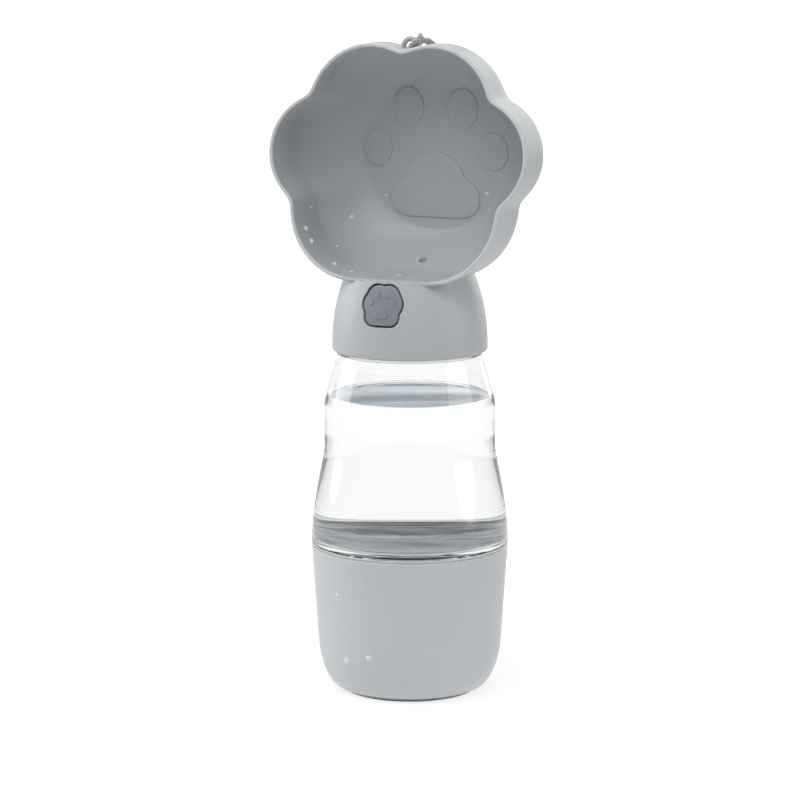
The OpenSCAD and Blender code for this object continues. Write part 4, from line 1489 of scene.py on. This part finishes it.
    def prints(self) -> list[bpy.types.Object]:
        """The raised paw print on the bowl's floor."""
        relief = Relief(lambda x, z: self.floor_y, self.centre, self.print_height,
                        self.print_edge)
        return relief.paw("print", self.print_pad, self.print_drop, self.print_toes)

    def build(self) -> None:
        """Makes the moulding."""
        bowl = self.collar()
        Workbench.boolean(bowl, self.core(), Cut.REMOVE)
        Workbench.boolean(bowl, self.shell(), Cut.JOIN)
        Workbench.boolean(bowl, self.lug(), Cut.JOIN)
        Workbench.boolean(bowl, self.hollow(), Cut.REMOVE)
        Workbench.boolean(bowl, BUTTON_FORM.window(), Cut.REMOVE)
        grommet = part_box("outlet_grommet")
        for radius, top in ((self.outlet_radius, COLLAR.top + 9 * MM),
                            (grommet[1].x + 0.1 * MM, grommet[1].z)):
            Workbench.boolean(bowl, Workbench.post(
                "hole", radius, (0, self.outlet_y), COLLAR.top - COLLAR.roof - 1 * MM, top),
                Cut.REMOVE)
        for raised in self.prints():
            Workbench.boolean(bowl, raised, Cut.JOIN)
        bowl = Workbench.rename(bowl, "paw_bowl_shell")
        Workbench.smooth(bowl)
        WARDROBE.dress(bowl, SHELL)
        # The rim's front faces get the paler finish: a painted highlight on the lip.
        WARDROBE.dress_part(bowl, EDGE, lambda p, n: p.z > COLLAR.top + 0.2 * MM and
                            p.y < self.rim_depth(p.z - self.centre) + self.wall / 2)
        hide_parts("paw_bowl")
        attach(bowl, "head")
        log.info("paw bowl: %d faces", len(bowl.data.polygons))


def ellipse(wide: float, tall: float) -> Callable[[float], float]:
    """The polar form of an ellipse, from its half width and half height."""
    return lambda a: wide * tall / math.hypot(tall * math.cos(a), wide * math.sin(a))


@dataclass(frozen=True)
class Relief:
    """Low raised shapes on a face that looks to the front.

    Attributes:
        face: Depth of the face at a place across it.
        middle: Height of the face's middle, which the places are counted from.
        height: How far the shapes are raised.
        edge: How far their edges are rounded.
    """

    face: Callable[[float, float], float]
    middle: float
    height: float
    edge: float
    sunk: float = 0.3 * MM
    around: int = 72

    def ring(self, centre: tuple[float, float], outline: Callable[[float], float],
             inset: float, share: float, lift: float) -> Ring:
        """A ring of the outline, inset and scaled to its centre, lifted off the face."""
        points = []
        for i in range(self.around):
            a = 2 * math.pi * i / self.around
            r = (outline(a) - inset) * share
            x, z = centre[0] + r * math.cos(a), self.middle + centre[1] + r * math.sin(a)
            points.append(Vector((x, self.face(x, z) - lift, z)))
        return points

    def build(self, name: str, centre: tuple[float, float],
              outline: Callable[[float], float]) -> bpy.types.Object:
        """Makes one raised shape, closed at its back below the face."""
        rings = [self.ring(centre, outline, 0.0, 1.0, -self.sunk),
                 self.ring(centre, outline, 0.0, 1.0, self.height - self.edge)]
        for turn in (22.5, 45.0, 67.5, 90.0):
            a = math.radians(turn)
            rings.append(self.ring(centre, outline, self.edge * (1 - math.cos(a)), 1.0,
                                   self.height - self.edge + self.edge * math.sin(a)))
        for share in (0.75, 0.5, 0.25, 0.05):
            rings.append(self.ring(centre, outline, self.edge, share, self.height))
        return Workbench.loft(name, rings)

    def paw(self, name: str, pad: PawOutline, drop: float,
            toes: tuple[tuple[float, float, float, float], ...]) -> list[bpy.types.Object]:
        """A raised paw.

        Args:
            name: What the names of the shapes start with.
            pad: The pad's outline.
            drop: How far the pad's middle is below the paw's.
            toes: Place across and up, half width and half height of each toe. Every toe has a
                mirrored one on the left.

        Returns:
            The shapes, the pad first.
        """
        made = [self.build(f"{name}_pad", (0.0, -drop), pad.radius)]
        for x, z, wide, tall in toes:
            for side in (-1, 1):
                made.append(self.build(f"{name}_toe", (side * x, z), ellipse(wide, tall)))
        return made


@dataclass(frozen=True)
class PushButton:
    """The paw shaped button in the collar's front, and its window."""

    outline: PawOutline = PawOutline((1.9 * MM, 2.9 * MM, 4.1 * MM),
                                     (2.9 * MM, 0.4 * MM, 4.4 * MM),
                                     (3.1 * MM, 3.7 * MM, 3.2 * MM))
    gap: float = 0.6 * MM
    recess: float = 0.5 * MM
    edge: float = 0.35 * MM
    flange: float = 1.0 * MM
    flange_front: float = -20 * MM
    flange_thick: float = 1.3 * MM
    travel: float = 3 * MM
    boss_radius: float = 3 * MM
    boss_length: float = 3.4 * MM
    roof_gap: float = 0.4 * MM
    paw_height: float = 0.34 * MM
    paw_edge: float = 0.24 * MM
    paw_pad: PawOutline = PawOutline((0.0, 0.3 * MM, 1.7 * MM), (0.0, 0.3 * MM, 1.7 * MM),
                                     (1.5 * MM, 1.0 * MM, 1.2 * MM))
    paw_drop: float = 2.3 * MM
    paw_toes: tuple[tuple[float, float, float, float], ...] = (
        (1.75 * MM, 3.7 * MM, 0.85 * MM, 1.15 * MM), (4.1 * MM, 1.2 * MM, 0.85 * MM, 1.15 * MM))

    @property
    def height(self) -> float:
        """Height of the button's middle, which is the valve's."""
        low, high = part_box("valve_stem")
        return (low.z + high.z) / 2

    def face(self, x: float, z: float) -> float:
        """Depth of the button's face."""
        return -math.sqrt((COLLAR.side(z) - self.recess) ** 2 - x * x)

    def ring(self, grow: float, share: float, depth: Callable[[float, float], float],
             roof: float = math.inf) -> Ring:
        """A ring of the button's outline, cut off level under a roof."""
        points = []
        for i in range(120):
            a = 2 * math.pi * i / 120
            r = (self.outline.radius(a) + grow) * share
            x, z = r * math.cos(a), min(self.height + r * math.sin(a), roof)
            points.append(Vector((x, depth(x, z), z)))
        return points

    def window(self) -> bpy.types.Object:
        """What is cut out of the collar, with the window's outer edge rounded off."""
        def skin(deep: float) -> Callable[[float, float], float]:
            """A depth under the collar's outside."""
            return lambda x, z: -math.sqrt(COLLAR.side(z) ** 2 - x * x) + deep
        back = self.flange_front - 2 * MM + self.travel + 0.3 * MM
        rings = [self.ring(self.gap, 1.0, lambda x, z: back)]
        for grow, deep in ((0.0, 0.35), (0.03, 0.2), (0.09, 0.09), (0.18, 0.03), (0.3, 0.0),
                           (0.4, -0.02), (0.4, -2.0)):
            rings.append(self.ring(self.gap + grow * MM, 1.0, skin(deep * MM)))
        return Workbench.loft("window", rings)

    def cap(self) -> bpy.types.Object:
        """The button's front, with a round edge."""
        rings = [self.ring(0.0, 1.0, lambda x, z: self.flange_front - 2 * MM)]
        for turn in (0.0, 22.5, 45.0, 67.5, 90.0):
            a = math.radians(turn)
            sunk = self.edge * (1 - math.sin(a))
            rings.append(self.ring(-self.edge * (1 - math.cos(a)), 1.0,
                                   lambda x, z, d=sunk: self.face(x, z) + d))
        for share in (0.8, 0.6, 0.4, 0.2, 0.03):
            rings.append(self.ring(-self.edge, share, self.face))
        return Workbench.loft("button_cap", rings)

    def plate(self, grow: float, front: float, back: float) -> bpy.types.Object:
        """A flat plate of the outline, under the collar's roof."""
        roof = COLLAR.top - COLLAR.roof - self.roof_gap
        return Workbench.loft("plate", [self.ring(grow, 1.0, lambda x, z, y=y: y, roof)
                                        for y in (back, front)])

    def build(self) -> None:
        """Makes the button with the small raised paw on its face."""
        cap = self.cap()
        overlap = 0.05 * MM
        front, back = self.flange_front, self.flange_front + self.flange_thick
        parts = [self.plate(0.0, front - 2 * MM - overlap, front + overlap),
                 self.plate(self.flange + self.gap, front, back),
                 Workbench.rod("boss", self.boss_radius, self.height, back - overlap,
                               back + self.boss_length)]
        relief = Relief(self.face, self.height, self.paw_height, self.paw_edge)
        parts += relief.paw("paw", self.paw_pad, self.paw_drop, self.paw_toes)
        for part in parts:
            Workbench.boolean(cap, part, Cut.JOIN)
        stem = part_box("valve_stem")
        Workbench.boolean(cap, Workbench.rod("bore", stem[1].z - self.height, self.height,
                                             stem[0].y, back + 9 * MM), Cut.REMOVE)
        Workbench.smooth(cap)
        WARDROBE.dress(cap, BUTTON)
        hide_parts("paw_button")
        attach(cap, "button")
        log.info("button: %d faces", len(cap.data.polygons))


BOWL = PawBowl()
BUTTON_FORM = PushButton()


# ------------------------------------------------------------------ seals, valve and drops


@dataclass(frozen=True)
class Seals:
    """The ring between the cup and the bottle, and the small parts that stay as they are."""

    kept: tuple[tuple[str, object], ...] = (
        ("neck_gasket", SILICONE), ("screw_insert", INNER), ("valve_body", INNER),
        ("valve_screws", STEEL), ("inlet_seal", NITRILE), ("outlet_grommet", SILICONE),
        ("vent_valve", SILICONE), ("barrel_plug", INNER), ("plug_oring", NITRILE),
        ("valve_stem", INNER), ("stem_oring", NITRILE), ("poppet_washer", SILICONE),
        ("return_spring", STEEL))

    def build(self) -> None:
        """Makes the ring and dresses the parts of the valve."""
        low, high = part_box("cup_seal_ring")
        outer, inner, thick = high.x, 31.6 * MM, high.z - low.z
        half = thick / 2
        middle = low.z + half
        section = (arc((outer - half, middle), half, -90, 90, 8)
                   + [(inner + 0.1 * MM, high.z), (inner, high.z - 0.1 * MM),
                      (inner, low.z + 0.1 * MM), (inner + 0.1 * MM, low.z), (outer - half, low.z)])
        ring = Workbench.lathe("seal_ring", section, 192)
        Workbench.smooth(ring)
        WARDROBE.dress(ring, SILICONE)
        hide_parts("cup_seal_ring")
        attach(ring, "cup_seal")
        for name, finish in self.kept:
            WARDROBE.dress_node(name, finish)
        log.info("seals and valve: %d parts dressed", len(self.kept) + 1)


@dataclass(frozen=True)
class Scatter:
    """How many drops a surface has, and the two ranges that their places are drawn from."""

    count: int
    across: tuple[float, float]
    along: tuple[float, float]

    def places(self, draw: random.Random) -> list[tuple[float, float]]:
        """The drops' places."""
        return [(draw.uniform(*self.across), draw.uniform(*self.along))
                for _ in range(self.count)]


@dataclass(frozen=True)
class Drops:
    """Water drops left on the bowl and the cup, scattered by seeded draws.

    Attributes:
        wall: Angles round the bowl, and places along its wall.
        floor: Angles round the bowl's middle, and distances from it.
        cup: Angles from the front, and heights.
        smallest: The least radius of a drop.
        largest: The greatest radius of a drop.
        rarity: The power that makes large drops rarer than small ones.
    """

    wall: Scatter = Scatter(16, (200, 290), (0.2, 1.6))
    floor: Scatter = Scatter(5, (215, 325), (24, 26))
    cup: Scatter = Scatter(5, (-40, 20), (8, 48))
    smallest: float = 0.3 * MM
    largest: float = 1.4 * MM
    rarity: float = 3
    seed: int = 4
    flatness: float = 0.42

    def bead(self, place: Vector, normal: Vector, radius: float) -> bpy.types.Object:
        """A flattened drop on a surface."""
        Workbench.deselect()
        bpy.ops.mesh.primitive_uv_sphere_add(
            segments=24, ring_count=16, radius=radius, location=place,
            rotation=normal.to_track_quat("Z", "Y").to_euler(), scale=(1, 1, self.flatness))
        bpy.ops.object.transform_apply(location=True, rotation=True, scale=True)
        return Workbench.named("drop")

    def on_wall(self, degrees: float, along: float, radius: float) -> bpy.types.Object:
        """A drop on the bowl's inner wall."""
        place = BOWL.inside(degrees, along)
        across = BOWL.inside(degrees + 3, along) - BOWL.inside(degrees - 3, along)
        down = BOWL.inside(degrees, along + 0.02) - BOWL.inside(degrees, along - 0.02)
        normal = across.cross(down)
        if normal.dot(Vector((-place.x, -20 * MM, BOWL.centre - place.z))) < 0:
            normal.negate()
        return self.bead(place, normal, radius)

    def on_cup(self, degrees: float, height: float, radius: float) -> bpy.types.Object:
        """A drop on the cup's outside."""
        a, z = math.radians(degrees), height * MM
        out = Vector((math.sin(a), -math.cos(a), 0))
        return self.bead(out * FoodCup().side(z) + Vector((0, 0, z)), out, radius)

    def on_floor(self, degrees: float, reach: float, radius: float) -> bpy.types.Object:
        """A drop on the bowl's floor."""
        a = math.radians(degrees)
        place = Vector((reach * MM * math.cos(a), BOWL.floor_y,
                        BOWL.centre + reach * MM * math.sin(a)))
        return self.bead(place, Vector((0, -1, 0)), radius)

    def radius(self, draw: random.Random) -> float:
        """A drop's radius."""
        return self.smallest + (self.largest - self.smallest) * draw.random() ** self.rarity

    def build(self) -> None:
        """Makes the drops, one piece for each body that they sit on."""
        draw = random.Random(self.seed)
        count = 0
        for name, body, surfaces in (
                ("bowl_drops", "head", ((self.wall, self.on_wall), (self.floor, self.on_floor))),
                ("cup_drops", "food_cup", ((self.cup, self.on_cup),))):
            beads = [put(*place, self.radius(draw))
                     for scatter, put in surfaces for place in scatter.places(draw)]
            merged = Workbench.merge(name, beads)
            Workbench.smooth(merged, 80)
            # The drops' whitish colour is a painted highlight.
            WARDROBE.dress(merged, DROP_PAINTED_HIGHLIGHT)
            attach(merged, body)
            count += len(beads)
        log.info("drops: %d", count)


def main() -> None:
    """Builds the studio and then every sub-assembly."""
    logging.basicConfig(level=logging.INFO, format="%(name)s: %(message)s")
    scene = bpy.context.scene
    scene.view_settings.view_transform = "Standard"
    Studio().build()
    Lanyard().build()
    FoodCup().build()
    Bottle().build()
    BOWL.build()
    BUTTON_FORM.build()
    Seals().build()
    Drops().build()


if __name__ == "__main__":
    main()
